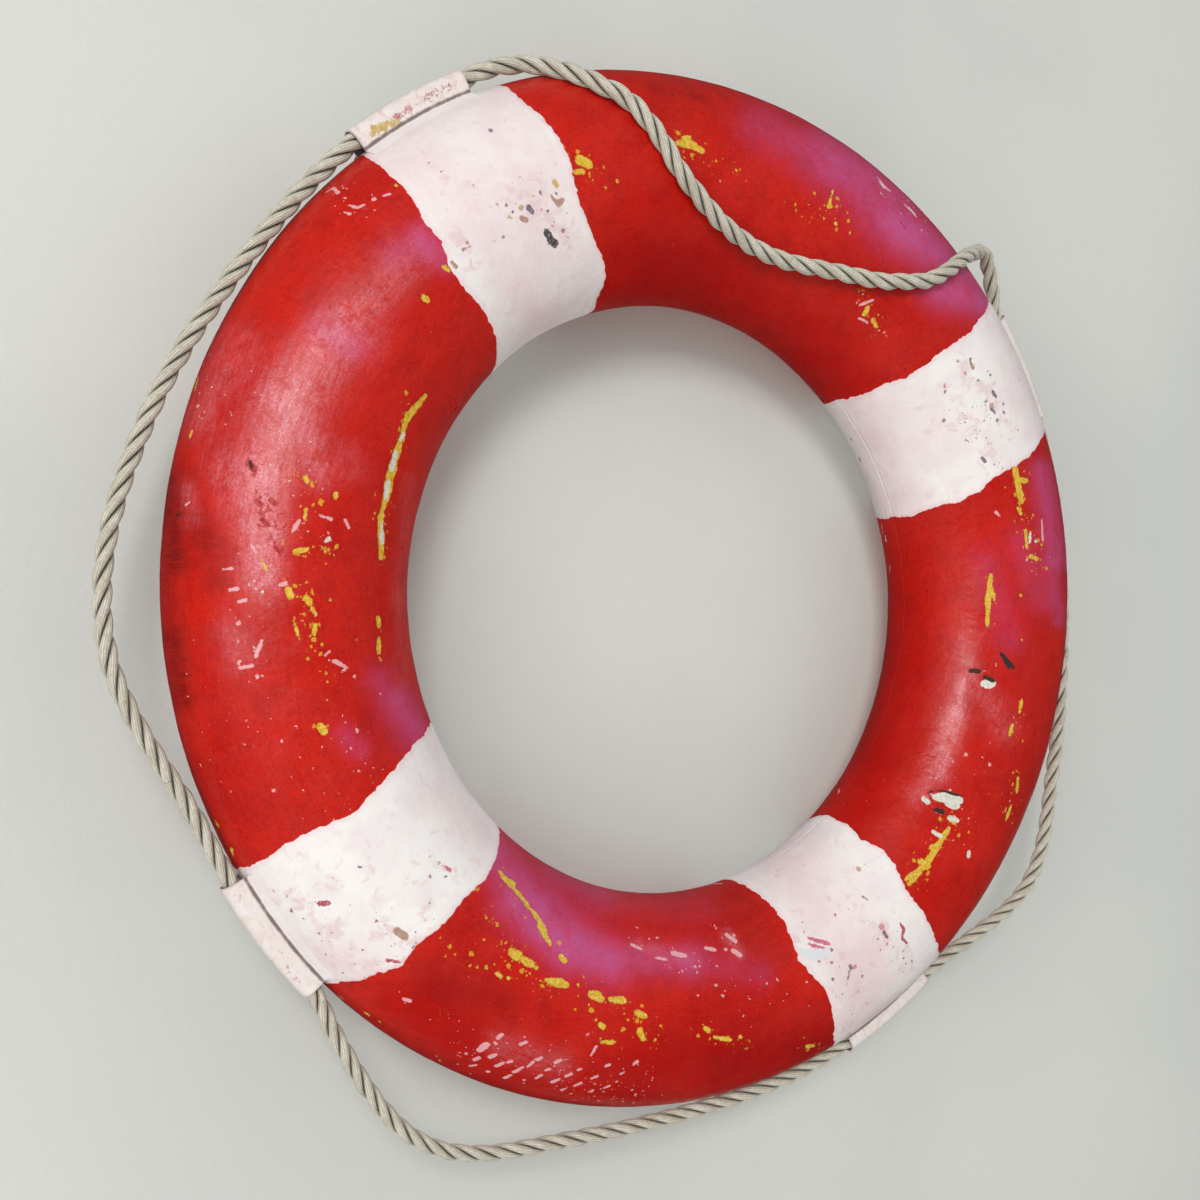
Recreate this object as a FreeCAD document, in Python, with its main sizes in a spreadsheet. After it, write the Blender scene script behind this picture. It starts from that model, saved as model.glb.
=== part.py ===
import FreeCAD, Part
import Sketcher
import math
import os

# Ring lifebuoy with a hard moulded skin, a foam core and a grab rope held in four rope guides.
# The ring lies in the XZ plane with its axis along Y. The front faces -Y, the resting land is at +Y.
# Origin: centre of the ring's opening, on the seam plane. Sizes in millimetres, angles in degrees.
# Angles round the ring run from +X towards +Z.

V = FreeCAD.Vector
doc = FreeCAD.newDocument("ring_lifebuoy")

# ---------------------------------------------------------------- driving dimensions
# alias, value, meaning
CELLS = [
    ("ring_radius", 300.0, "centre of the section to the ring's axis"),
    ("section_radial", 80.0, "half width of the section, measured radially"),
    ("section_axial", 65.0, "half thickness of the section, measured along the axis"),
    ("wall_thick", 3.5, "skin thickness"),
    ("land_offset", 64.2, "seam plane to the flat resting land on the back"),
    ("core_clear", 0.2, "foam to skin"),
    ("seam_half", 8.8, "half width of the bonded seam strips"),
    ("seam_inset", 73.6, "seam strip's inner face, from the section's centre"),
    ("notch_half", 9.1, "half width of the rebate in the foam for a seam strip"),
    ("notch_inset", 73.3, "floor of that rebate, from the section's centre"),
    ("core_phase", 35.0, "angle of the first joint between foam blocks"),
    ("core_span", 89.92, "angle covered by one foam block"),
    ("guide_offset", -10.0, "rope guides and rope, from the seam plane"),
    ("guide_radius", 388.0, "rope's centre inside a guide, from the ring's axis"),
    ("guide_bore", 6.7, "inside radius of a guide"),
    ("guide_wall", 1.2, "thickness of a guide"),
    ("guide_span", 13.5, "angle covered by a guide"),
    ("flange_front", -26.0, "front edge of a guide's flange"),
    ("flange_back", 6.0, "back edge of a guide's flange"),
    ("skin_clear", 0.05, "guide flange and seam strip to the skin"),
    ("rope_dia", 12.0, "rope diameter"),
    ("end_gap", 0.2, "half the gap between two lengths of rope at a swing point"),
    ("whip_thick", 0.4, "thickness of the twine whipping"),
    ("whip_clear", 0.12, "whipping to rope"),
    ("whip_span", 1.5, "angle covered by a whipping"),
    ("whip_offset", 1.2, "angle from the joint in the rope to a whipping's middle"),
    ("plug_flange", 9.0, "radius of a plug's head"),
    ("plug_head", 1.4, "thickness of a plug's head"),
    ("plug_stem", 6.0, "radius of a plug's stem"),
    ("plug_clear", 0.04, "plug to its seat"),
    ("stem_setback", 0.1, "stem's inner end, out from the skin's inner face"),
    ("stem_trim", 1.5, "stem's length, short of the skin thickness"),
    ("seat_extra", 3.0, "length of a seat's cutter beyond the head's thickness"),
    ("hole_length", 20.0, "length of the cutter for a stem's hole"),
    ("hole_start", 8.0, "start of that cutter, in from the skin's inner face"),
]
sheet = doc.addObject("Spreadsheet::Sheet", "dims")
for row, (alias, value, note) in enumerate(CELLS, 1):
    sheet.set("A%d" % row, alias)
    sheet.set("B%d" % row, str(value))
    sheet.set("C%d" % row, note)
    sheet.setAlias("B%d" % row, alias)
doc.recompute()


def dim(alias):
    return float(sheet.get(alias))


RING = dim("ring_radius")
WALL = dim("wall_thick")
SKIN_CLEAR = dim("skin_clear")
LAND = dim("land_offset")
GUIDE_RADIUS = dim("guide_radius")
GUIDE_Y = dim("guide_offset")
ROPE_RADIUS = dim("rope_dia") / 2

# Angle of each rope guide's middle. The rope's two ends meet in the top right one.
GUIDES = {"top_right": 31.6, "top_left": 124.35, "bottom_left": 215.05, "bottom_right": 300.6}
ROPE_START = GUIDES["top_right"]

parts = {}


# ---------------------------------------------------------------- sketching helpers
START, END, CENTRE = 1, 2, 3  # a curve's points, as the sketcher numbers them
X_AXIS = -1
ORIGIN = (-1, 1)


def around_ring(angle):
    """Placement that carries a piece modelled at +X round the ring to this angle."""
    return FreeCAD.Placement(V(0, 0, 0), FreeCAD.Rotation(V(0, 1, 0), -angle))


class Outline:
    """The ring's elliptical section, its half axes grown by a length and the same expression."""

    def __init__(self, growth=0.0, expression="0"):
        self.radial = dim("section_radial") + growth
        self.axial = dim("section_axial") + growth
        self.expression = expression

    def angle(self, y):
        """Ellipse parameter at height y on the outer side."""
        return math.asin(y / self.axial)

    def point(self, y, side=1):
        """Point at height y, on the outer side (1) or the side towards the opening (-1)."""
        return (RING + side * self.radial * math.sqrt(1 - (y / self.axial) ** 2), y)


SKIN = Outline()
SKIN_INSIDE = Outline(-WALL, "-1 * dims.wall_thick")


class Section:
    """A body and its closed profile in the XY plane: x is the radius, y is the ring's axis.

    Curves are drawn head to tail. A reversed curve is followed from its end to its start."""

    def __init__(self, name, sketch_name=None):
        self.body = doc.addObject("PartDesign::Body", name)
        sketch_name = sketch_name or name + "_section"
        self.sketch = self.body.newObject("Sketcher::SketchObject", sketch_name)
        plane = [f for f in self.body.Origin.OriginFeatures if f.Role == "XY_Plane"][0]
        self.sketch.AttachmentSupport = [(plane, "")]
        self.sketch.MapMode = "FlatFace"
        self.chain = []  # curve, first point, last point
        self.lines = []
        self.deferred = []  # curve constraints that wait until the chain is closed
        self.bound = []  # constraint, expression

    def constrain(self, *args, expression=None):
        index = self.sketch.addConstraint(Sketcher.Constraint(*args))
        if expression:
            self.bound.append((index, expression))

    def fix_x(self, curve, point, x, expression):
        self.constrain("DistanceX", *ORIGIN, curve, point, x, expression=expression)

    def fix_y(self, curve, point, y, expression):
        """The expression gives the height without its sign."""
        ends = (*ORIGIN, curve, point) if y > 0 else (curve, point, *ORIGIN)
        self.constrain("DistanceY", *ends, abs(y), expression=expression)

    def hold_on_seam(self, *points):
        for curve, point in points:
            self.constrain("PointOnObject", curve, point, X_AXIS)

    def square_up(self, *verticals):
        """Make every line horizontal, except those given as vertical."""
        for line in self.lines:
            if line not in verticals:
                self.constrain("Horizontal", line)
        for line in verticals:
            self.constrain("Vertical", line)

    def add(self, curve, reverse=False):
        index = self.sketch.addGeometry(curve, False)
        self.chain.append((index, END, START) if reverse else (index, START, END))
        return index

    def line(self, start, end):
        index = self.add(Part.LineSegment(V(*start, 0), V(*end, 0)))
        self.lines.append(index)
        return index

    def guide_arc(self, radius, expression, reverse=False):
        """Outer half circle about the rope's centre in a guide."""
        circle = Part.Circle(V(GUIDE_RADIUS, GUIDE_Y, 0), V(0, 0, 1), radius)
        index = self.add(Part.ArcOfCircle(circle, -math.pi / 2, math.pi / 2), reverse)
        self.deferred.append((self.fix_arc, index, radius, expression))
        return index

    def ellipse(self, outline, angle0, angle1, reverse=False):
        ellipse = Part.Ellipse(V(RING, 0, 0), outline.radial, outline.axial)
        index = self.add(Part.ArcOfEllipse(ellipse, angle0, angle1), reverse)
        self.deferred.append((self.fix_ellipse, index, outline))
        return index

    def fix_arc(self, index, radius, expression):
        self.constrain("Radius", index, radius, expression=expression)
        self.fix_x(index, CENTRE, GUIDE_RADIUS, "dims.guide_radius")

    def fix_ellipse(self, index, outline):
        major = self.sketch.GeometryCount
        minor = major + 1
        self.sketch.exposeInternalGeometry(index)
        self.constrain("PointOnObject", index, CENTRE, X_AXIS)
        self.fix_x(index, CENTRE, RING, "dims.ring_radius")
        self.constrain("Horizontal", major)
        for axis, half, alias in (
            (major, outline.radial, "section_radial"),
            (minor, outline.axial, "section_axial"),
        ):
            full = "2 * (dims.%s + %s)" % (alias, outline.expression)
            self.constrain("Distance", axis, 2 * half, expression=full)

    def turn(self, span=None):
        """Close the profile and revolve it, fully or by the angle under this alias, centred on +X."""
        for (curve, _, last), (following, first, _) in zip(
            self.chain, self.chain[1:] + self.chain[:1]
        ):
            self.constrain("Coincident", curve, last, following, first)
        for fix, *args in self.deferred:
            fix(*args)
        for index, expression in self.bound:
            self.sketch.setExpression("Constraints[%d]" % index, expression)

        revolution = self.body.newObject("PartDesign::Revolution", "turn")
        revolution.Profile = self.sketch
        revolution.ReferenceAxis = (self.sketch, ["V_Axis"])
        revolution.Angle = dim(span) if span else 360.0
        if span:
            revolution.Midplane = True
            revolution.setExpression("Angle", "dims." + span)
        self.body.Tip = revolution
        self.sketch.Visibility = False
        return self.body


# ---------------------------------------------------------------- skin
def front_shell():
    section = Section("front_shell", "front_section")
    outer = section.ellipse(SKIN, math.pi, 2 * math.pi)
    section.line(SKIN.point(0), SKIN_INSIDE.point(0))
    inner = section.ellipse(SKIN_INSIDE, math.pi, 2 * math.pi, reverse=True)
    section.line(SKIN_INSIDE.point(0, -1), SKIN.point(0, -1))
    section.hold_on_seam((outer, START), (outer, END), (inner, START), (inner, END))
    return section.turn()


def back_blank():
    """Back half of the skin with its resting land, before the plugs' seats are cut."""
    section = Section("back_blank", "back_section")
    land_angle = SKIN.angle(LAND)
    outer = section.ellipse(SKIN, 0, land_angle)
    land_line = section.line(SKIN.point(LAND), SKIN.point(LAND, -1))
    opening = section.ellipse(SKIN, math.pi - land_angle, math.pi)
    section.line(SKIN.point(0, -1), SKIN_INSIDE.point(0, -1))
    inner = section.ellipse(SKIN_INSIDE, 0, math.pi, reverse=True)
    section.line(SKIN_INSIDE.point(0), SKIN.point(0))
    section.constrain("Horizontal", land_line)
    section.fix_y(land_line, START, LAND, "dims.land_offset")
    section.hold_on_seam((outer, START), (opening, END), (inner, START), (inner, END))
    return section.turn()


def cylinder(name, radius, height, base):
    """Cylinder along +Y from its base, with its radius and height bound to expressions."""
    shape = doc.addObject("Part::Cylinder", name)
    shape.setExpression("Radius", radius)
    shape.setExpression("Height", height)
    shape.Placement = FreeCAD.Placement(base, FreeCAD.Rotation(V(0, 0, 1), V(0, 1, 0)))
    return shape


def plug(name, angle):
    """A headed plug, its head flush with the land. Returns it and the cutters for its seat."""
    x = RING * math.cos(math.radians(angle))
    z = RING * math.sin(math.radians(angle))
    head_y = LAND - dim("plug_head")
    inner_y = SKIN_INSIDE.axial
    head = cylinder(name + "_head", "dims.plug_flange", "dims.plug_head", V(x, head_y, z))
    stem = cylinder(name + "_stem", "dims.plug_stem", "dims.wall_thick - dims.stem_trim",
                    V(x, inner_y + dim("stem_setback"), z))
    body = doc.addObject("Part::MultiFuse", name)
    body.Shapes = [head, stem]
    body.Refine = True
    seat = cylinder(name + "_seat", "dims.plug_flange + dims.plug_clear",
                    "dims.plug_head + dims.seat_extra", V(x, head_y - dim("plug_clear"), z))
    hole = cylinder(name + "_hole", "dims.plug_stem + dims.plug_clear", "dims.hole_length",
                    V(x, inner_y - dim("hole_start"), z))
    return body, [seat, hole]


parts["front_shell"] = front_shell()
blank = back_blank()
cutters = []
for name, angle in (("fill_plug", 270.0), ("vent_plug", 90.0)):
    parts[name], plug_cutters = plug(name, angle)
    cutters += plug_cutters
seats = doc.addObject("Part::MultiFuse", "plug_seats")
seats.Shapes = cutters
back_shell = doc.addObject("Part::Cut", "back_shell")
back_shell.Base = blank
back_shell.Tool = seats
parts["back_shell"] = back_shell


# ---------------------------------------------------------------- bonded strips inside the seams
def seam_bond(name, side):
    """Strip on the outer seam (side 1) or the seam round the opening (side -1)."""
    half = dim("seam_half")
    flat_x = RING + side * dim("seam_inset")
    outline = Outline(-WALL - SKIN_CLEAR, "-1 * dims.wall_thick - dims.skin_clear")
    angle = outline.angle(half)
    section = Section(name)
    if side == 1:
        section.ellipse(outline, -angle, angle)
    else:
        section.ellipse(outline, math.pi - angle, math.pi + angle, reverse=True)
    section.line(outline.point(half, side), (flat_x, half))
    flat = section.line((flat_x, half), (flat_x, -half))
    section.line((flat_x, -half), outline.point(-half, side))
    section.square_up(flat)
    sign = "+" if side == 1 else "-"
    section.fix_x(flat, START, flat_x, "dims.ring_radius %s dims.seam_inset" % sign)
    section.fix_y(flat, START, half, "dims.seam_half")
    section.fix_y(flat, END, -half, "dims.seam_half")
    return section.turn()


for name, side in (("seam_bond_outer", 1), ("seam_bond_inner", -1)):
    parts[name] = seam_bond(name, side)


# ---------------------------------------------------------------- foam core
def foam_block(name, angle):
    """One moulded arc of foam with a rebate for each seam strip, centred on this angle."""
    half = dim("notch_half")
    inner_x = RING - dim("notch_inset")
    outer_x = RING + dim("notch_inset")
    outline = Outline(-WALL - dim("core_clear"), "-1 * dims.wall_thick - dims.core_clear")
    notch = outline.angle(half)
    section = Section(name)
    section.ellipse(outline, notch, math.pi - notch)
    section.line(outline.point(half, -1), (inner_x, half))
    inner = section.line((inner_x, half), (inner_x, -half))
    section.line((inner_x, -half), outline.point(-half, -1))
    section.ellipse(outline, math.pi + notch, 2 * math.pi - notch)
    section.line(outline.point(-half), (outer_x, -half))
    outer = section.line((outer_x, -half), (outer_x, half))
    section.line((outer_x, half), outline.point(half))
    section.square_up(inner, outer)
    section.fix_x(inner, START, inner_x, "dims.ring_radius - dims.notch_inset")
    section.fix_x(outer, START, outer_x, "dims.ring_radius + dims.notch_inset")
    section.fix_y(inner, START, half, "dims.notch_half")
    section.fix_y(inner, END, -half, "dims.notch_half")
    section.fix_y(outer, START, -half, "dims.notch_half")
    section.fix_y(outer, END, half, "dims.notch_half")
    body = section.turn("core_span")
    body.Placement = around_ring(angle)
    return body


BLOCKS = ("top", "left", "bottom", "right")
BLOCK_PITCH = 360.0 / len(BLOCKS)
for k, tag in enumerate(BLOCKS):
    name = "foam_core_" + tag
    parts[name] = foam_block(name, dim("core_phase") + BLOCK_PITCH * (k + 0.5))


# ---------------------------------------------------------------- rope guides
def rope_guide(name, angle):
    """Arched tube open towards the ring, with flanges that follow the rim front and back."""
    bore = dim("guide_bore")
    wall = dim("guide_wall")
    front, back = dim("flange_front"), dim("flange_back")
    outer_front, outer_back = GUIDE_Y - bore - wall, GUIDE_Y + bore + wall
    inner_front, inner_back = GUIDE_Y - bore, GUIDE_Y + bore
    face = Outline(wall, "dims.guide_wall")
    seat = Outline(SKIN_CLEAR, "dims.skin_clear")

    section = Section(name)
    # outer face, front to back
    section.ellipse(face, face.angle(front), face.angle(outer_front))
    section.line(face.point(outer_front), (GUIDE_RADIUS, outer_front))
    outer_arc = section.guide_arc(bore + wall, "dims.guide_bore + dims.guide_wall")
    section.line((GUIDE_RADIUS, outer_back), face.point(outer_back))
    section.ellipse(face, face.angle(outer_back), face.angle(back))
    back_edge = section.line(face.point(back), seat.point(back))
    # inner face, back to front
    section.ellipse(seat, seat.angle(inner_back), seat.angle(back), reverse=True)
    section.line(seat.point(inner_back), (GUIDE_RADIUS, inner_back))
    inner_arc = section.guide_arc(bore, "dims.guide_bore", reverse=True)
    section.line((GUIDE_RADIUS, inner_front), seat.point(inner_front))
    section.ellipse(seat, seat.angle(front), seat.angle(inner_front), reverse=True)
    front_edge = section.line(seat.point(front), face.point(front))

    section.square_up()
    section.fix_y(back_edge, START, back, "dims.flange_back")
    section.fix_y(front_edge, START, front, "-1 * dims.flange_front")
    for arc in (outer_arc, inner_arc):
        section.fix_y(arc, CENTRE, GUIDE_Y, "-1 * dims.guide_offset")
    body = section.turn("guide_span")
    body.Placement = around_ring(angle)
    return body


for tag, angle in GUIDES.items():
    name = "rope_guide_" + tag
    parts[name] = rope_guide(name, angle)


# ---------------------------------------------------------------- whippings on the rope's two ends
def whipping(name, angle):
    section = Section(name)
    inside = ROPE_RADIUS + dim("whip_clear")
    inside_expression = "dims.rope_dia / 2 + dims.whip_clear"
    for radius, expression in (
        (inside, inside_expression),
        (inside + dim("whip_thick"), inside_expression + " + dims.whip_thick"),
    ):
        circle = Part.Circle(V(GUIDE_RADIUS, GUIDE_Y, 0), V(0, 0, 1), radius)
        index = section.sketch.addGeometry(circle, False)
        section.constrain("Radius", index, radius, expression=expression)
        section.fix_x(index, CENTRE, GUIDE_RADIUS, "dims.guide_radius")
        section.fix_y(index, CENTRE, GUIDE_Y, "-1 * dims.guide_offset")
    body = section.turn("whip_span")
    body.Placement = around_ring(angle)
    return body


for name, side in (("rope_whipping_upper", 1), ("rope_whipping_lower", -1)):
    parts[name] = whipping(name, ROPE_START + side * dim("whip_offset"))

# ---------------------------------------------------------------- grab rope: its centreline
# The rope runs from the middle of the top right guide right round the ring and back to it.
# Top span: angle, radius from the ring's axis, y. It humps over the rim beside the guide,
# lies across the front face and climbs back to the rim.
TOP_SPAN = [
    (38.4, 388.25, -10.1), (40.3, 391.6, -12.4), (42.0, 395.4, -15.5), (43.3, 397.0, -18.0),
    (44.4, 398.0, -21.0), (45.7, 396.8, -25.2), (47.1, 389.8, -32.5), (48.4, 375.5, -43.0),
    (50.4, 350.0, -59.0), (51.4, 334.5, -65.5), (52.7, 314.8, -70.3), (54.4, 298.5, -71.4),
    (57.1, 285.6, -70.4), (60.6, 273.4, -67.8), (65.8, 263.1, -64.5), (71.2, 255.8, -61.2),
    (74.7, 252.3, -59.3), (80.0, 250.0, -58.0), (85.0, 252.2, -59.3), (89.7, 258.6, -62.6),
    (93.6, 268.2, -66.3), (96.6, 280.0, -69.3), (98.9, 292.5, -71.1), (100.5, 307.6, -71.2),
    (101.8, 322.4, -68.9), (102.9, 334.2, -65.6), (104.1, 344.7, -61.2), (105.1, 349.8, -58.9),
    (106.4, 357.9, -53.2), (107.6, 365.6, -46.6), (108.6, 372.9, -38.2), (109.5, 379.6, -28.6),
    (110.6, 384.2, -22.5), (112.1, 387.4, -18.3), (113.9, 389.4, -15.0), (115.7, 389.9, -12.2),
    (117.4, 388.6, -10.4),
]
# The other spans stay level with the guides: angle, radius from the ring's axis.
# Left span: hugs the rim, then hangs clear.
LEFT_SPAN = [
    (131.6, 388.0), (135.4, 387.3), (139.3, 387.1), (143.6, 387.2), (148.4, 388.6), (151.9, 390.7),
    (155.0, 393.2), (157.9, 395.8), (160.9, 398.9), (163.9, 402.0), (167.2, 405.3), (170.2, 408.8),
    (172.8, 411.7), (175.4, 414.2), (177.8, 415.9), (180.1, 416.9), (182.5, 417.1), (185.2, 416.0),
    (187.3, 413.9), (189.2, 410.6), (191.5, 406.2), (193.8, 401.6), (196.2, 397.0), (198.3, 393.4),
    (200.8, 390.4), (203.6, 388.8), (206.2, 388.1),
]
# Bottom span: the deepest loop.
BOTTOM_SPAN = [
    (221.5, 388.15), (222.7, 389.6), (223.8, 392.2), (225.2, 396.1), (227.3, 401.4),
    (230.0, 408.9), (232.7, 416.3), (235.3, 423.1), (238.0, 428.7), (240.7, 431.6), (243.5, 431.0),
    (246.0, 427.4), (248.4, 422.5), (250.9, 416.4), (254.0, 409.1), (257.6, 402.5), (261.4, 397.1),
    (265.4, 392.6), (269.5, 389.4), (273.9, 387.6), (278.3, 387.1), (282.2, 387.2), (285.7, 387.5),
    (289.3, 387.9), (293.2, 388.0),
]
RIGHT_SPAN = [
    (307.6, 388.5), (309.5, 390.6), (311.7, 394.3), (314.6, 400.6), (317.6, 408.6), (320.5, 417.2),
    (323.3, 424.6), (326.2, 428.8), (329.1, 428.2), (331.9, 424.0), (334.5, 418.3), (337.2, 412.6),
    (340.0, 407.9), (342.9, 404.2), (345.6, 401.0), (349.8, 396.0), (354.9, 391.9), (360.5, 389.0),
    (366.0, 387.4), (372.0, 387.1), (378.0, 387.5), (382.6, 387.9),
]


def level(span):
    return [(angle, radius, GUIDE_Y) for angle, radius in span]


def in_guide(*angles):
    return [(angle, GUIDE_RADIUS, GUIDE_Y) for angle in angles]


CENTRELINE = (
    in_guide(ROPE_START, 34.0, 36.4)
    + TOP_SPAN
    + in_guide(119.5, 122.0, 124.4, 127.0, 129.3)
    + level(LEFT_SPAN)
    + in_guide(208.4, 210.7, 213.0, 215.3, 217.6, 219.8)
    + level(BOTTOM_SPAN)
    + in_guide(296.0, 298.4, 300.8, 303.2, 305.8)
    + level(RIGHT_SPAN)
    + in_guide(385.0, 387.2, 389.4, ROPE_START + 360)
)

# First and last angle of the loop in each span, where it leaves the rim. A loop swings about
# the straight line through its two ends.
LOOPS = {
    "top": (46.0, 110.5),
    "left": (152.0, 197.0),
    "bottom": (223.3, 264.0),
    "right": (309.6, 354.0),
}
BUTT_ANGLE = 0.12     # from the guide's middle to each end of the rope
SAMPLES = 9000        # steps along the whole centreline
TANGENT_REACH = 4     # samples to either side used for a tangent
STATION_PITCH = 7.0   # target distance between the rope's sections
CUT_INSET = 9.5       # from a swing point's slanted end to the next section
SECTION_POINTS = 16   # points round one section


def ring_point(angle, radius, y):
    angle = math.radians(angle)
    return V(radius * math.cos(angle), y, radius * math.sin(angle))


def unit(vector):
    return vector * (1.0 / vector.Length)


centreline = Part.BSplineCurve()
centreline.interpolate(Points=[ring_point(*station) for station in CENTRELINE])
first, last = centreline.FirstParameter, centreline.LastParameter
samples = [centreline.value(first + (last - first) * i / SAMPLES) for i in range(SAMPLES + 1)]

# Angle of each sample, running on past 180 degrees without a jump.
sample_angles = []
previous = ROPE_START
for sample in samples:
    angle = math.degrees(math.atan2(sample.z, sample.x))
    angle += 360 * round((previous - angle) / 360)
    sample_angles.append(angle)
    previous = angle


def index_at(angle):
    return min(range(SAMPLES + 1), key=lambda i: abs(sample_angles[i] - angle))


# ---------------------------------------------------------------- grab rope: its lengths
def rope_length(start, end, start_plane=None, end_plane=None):
    """The rope's round section carried along its centreline between two samples.

    A plane, given as its outward normal, makes that end square to a swing axis, set back by
    half the end gap."""
    run = [0.0]
    for i in range(start, end):
        run.append(run[-1] + samples[i].distanceToPoint(samples[i + 1]))
    total = run[-1]

    near = CUT_INSET if start_plane else 0.0
    far = total - CUT_INSET if end_plane else total
    count = max(3, int(round((far - near) / STATION_PITCH)))
    stations = [near + (far - near) * k / count for k in range(count + 1)]
    if start_plane:
        stations.insert(0, 0.0)
    if end_plane:
        stations.append(total)

    def at(distance):
        """Point and tangent at this distance along the run."""
        low = sum(1 for reached in run[1:-1] if reached <= distance)
        fraction = (distance - run[low]) / (run[low + 1] - run[low])
        i = start + low
        point = samples[i] + (samples[i + 1] - samples[i]) * fraction
        before = samples[max(0, i - TANGENT_REACH)]
        after = samples[min(SAMPLES, i + 1 + TANGENT_REACH)]
        return point, unit(after - before)

    # The side vector is carried from section to section, so the loft doesn't twist.
    side = V(0, 1, 0) if abs(at(stations[0])[1].y) < 0.9 else V(1, 0, 0)
    cut_planes = {0: start_plane, len(stations) - 1: end_plane}
    sections = []
    for k, distance in enumerate(stations):
        centre, tangent = at(distance)
        side = unit(side - tangent * side.dot(tangent))
        other = tangent.cross(side)
        plane = cut_planes.get(k)
        points = []
        for q in range(SECTION_POINTS):
            turn = 2 * math.pi * q / SECTION_POINTS
            point = (centre + side * (ROPE_RADIUS * math.cos(turn))
                     + other * (ROPE_RADIUS * math.sin(turn)))
            if plane:
                # slide the point along the rope onto the cutting plane
                on_plane = centre - plane * dim("end_gap")
                point += tangent * ((on_plane - point).dot(plane) / tangent.dot(plane))
            points.append(point)
        loop = Part.BSplineCurve()
        loop.interpolate(Points=points, PeriodicFlag=True,
                         Parameters=[float(q) for q in range(SECTION_POINTS + 1)])
        sections.append(Part.Wire(loop.toShape()))
    shape = Part.makeLoft(sections, True, True)  # solid, ruled
    return shape if shape.Volume > 0 else shape.reversed()


def rope_piece(name, *length):
    shape = rope_length(*length)
    if len(shape.Solids) != 1:
        raise ValueError("%s came out as %d solids" % (name, len(shape.Solids)))
    piece = doc.addObject("Part::Feature", name)
    piece.Shape = shape.Solids[0]
    parts[name] = piece


# First sample, last sample and swing axis of each loop.
swing = {}
for tag, (angle0, angle1) in LOOPS.items():
    start, end = index_at(angle0), index_at(angle1)
    swing[tag] = (start, end, unit(samples[end] - samples[start]))

for tag, (start, end, axis) in swing.items():
    rope_piece("rope_loop_" + tag, start, end, axis * -1.0, axis)

# Lengths that pass through a guide, between two loops.
for guide, before, after in (
    ("top_left", "top", "left"),
    ("bottom_left", "left", "bottom"),
    ("bottom_right", "bottom", "right"),
):
    _, start, start_axis = swing[before]
    end, _, end_axis = swing[after]
    rope_piece("rope_run_" + guide, start, end, start_axis * -1.0, end_axis)

# The rope's two ends butt in the middle of the top right guide.
top_start, _, top_axis = swing["top"]
_, right_end, right_axis = swing["right"]
rope_piece("rope_end_upper", index_at(ROPE_START + BUTT_ANGLE), top_start, None, top_axis)
rope_piece("rope_end_lower", right_end, index_at(ROPE_START + 360 - BUTT_ANGLE),
           right_axis * -1.0, None)

# ---------------------------------------------------------------- labels, check and export
doc.recompute()
for name, part in parts.items():
    part.Label = name
doc.recompute()
bad = [o.Name for o in doc.Objects if "Invalid" in o.State or "Error" in o.State]
if bad:
    raise RuntimeError("failed features: %s" % bad)
for name, part in parts.items():
    if part.Shape.isNull() or not part.Shape.isValid() or not part.Shape.Solids:
        raise RuntimeError("%s has no valid shape" % name)

os.makedirs("parts", exist_ok=True)
for name, part in parts.items():
    part.Shape.exportStep(os.path.join("parts", name + ".step"))
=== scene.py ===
"""A worn red and white ring lifebuoy with a laid grab rope.

The ring's axis is Y through the origin. The front faces -Y, +X is right and +Z is up.
Lengths are millimetres unless said otherwise, and MM turns them into metres.
Ring angle: degrees round the ring, 0 at +X and 90 at +Z.
Section angle: degrees round the tube, 0 outermost, -90 front, 90 back, 180 innermost.
"""
import bmesh
import bpy
import math
import numpy as np
from mathutils import Vector, Matrix


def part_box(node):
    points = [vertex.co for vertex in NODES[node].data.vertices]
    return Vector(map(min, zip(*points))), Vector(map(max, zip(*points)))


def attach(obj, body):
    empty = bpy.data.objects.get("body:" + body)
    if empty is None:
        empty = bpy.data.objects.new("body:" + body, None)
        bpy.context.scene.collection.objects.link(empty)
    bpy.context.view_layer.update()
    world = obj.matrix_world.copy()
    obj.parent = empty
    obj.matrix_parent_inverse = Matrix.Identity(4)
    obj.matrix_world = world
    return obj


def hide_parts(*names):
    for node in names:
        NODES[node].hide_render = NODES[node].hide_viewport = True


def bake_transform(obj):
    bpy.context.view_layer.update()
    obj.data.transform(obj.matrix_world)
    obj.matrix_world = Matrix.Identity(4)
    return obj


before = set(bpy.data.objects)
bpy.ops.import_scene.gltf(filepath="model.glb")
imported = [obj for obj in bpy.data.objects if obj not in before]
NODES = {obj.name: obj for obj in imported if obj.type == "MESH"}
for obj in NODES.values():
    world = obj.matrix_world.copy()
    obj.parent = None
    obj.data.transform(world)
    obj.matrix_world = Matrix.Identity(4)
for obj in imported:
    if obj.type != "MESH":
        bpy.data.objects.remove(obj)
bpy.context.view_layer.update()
MM = 0.001

# ---------------------------------------------------------------- driving sizes
shell_lo, shell_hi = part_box("front_shell")
RING_R = 300.0  # ring axis to the middle of the tube
HALF_W = round((shell_hi.x - shell_lo.x) / 2 / MM, 1) - RING_R  # tube half width, radially
HALF_D = -shell_lo.y / MM  # tube half depth, along Y
LAND_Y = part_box("back_shell")[1].y / MM  # flat land on the back
SKIN_WALL = 3.5
PARTING_Y = 0.02  # each half stops this far from the XZ plane
PLUG_CENTRES = ((0.0, -RING_R), (0.0, RING_R))  # x, z

ROPE_R, ROPE_Y = 388.0, -10.0  # rope centre line inside the guides
BORE_R, GUIDE_WALL = 6.7, 1.2

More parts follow.
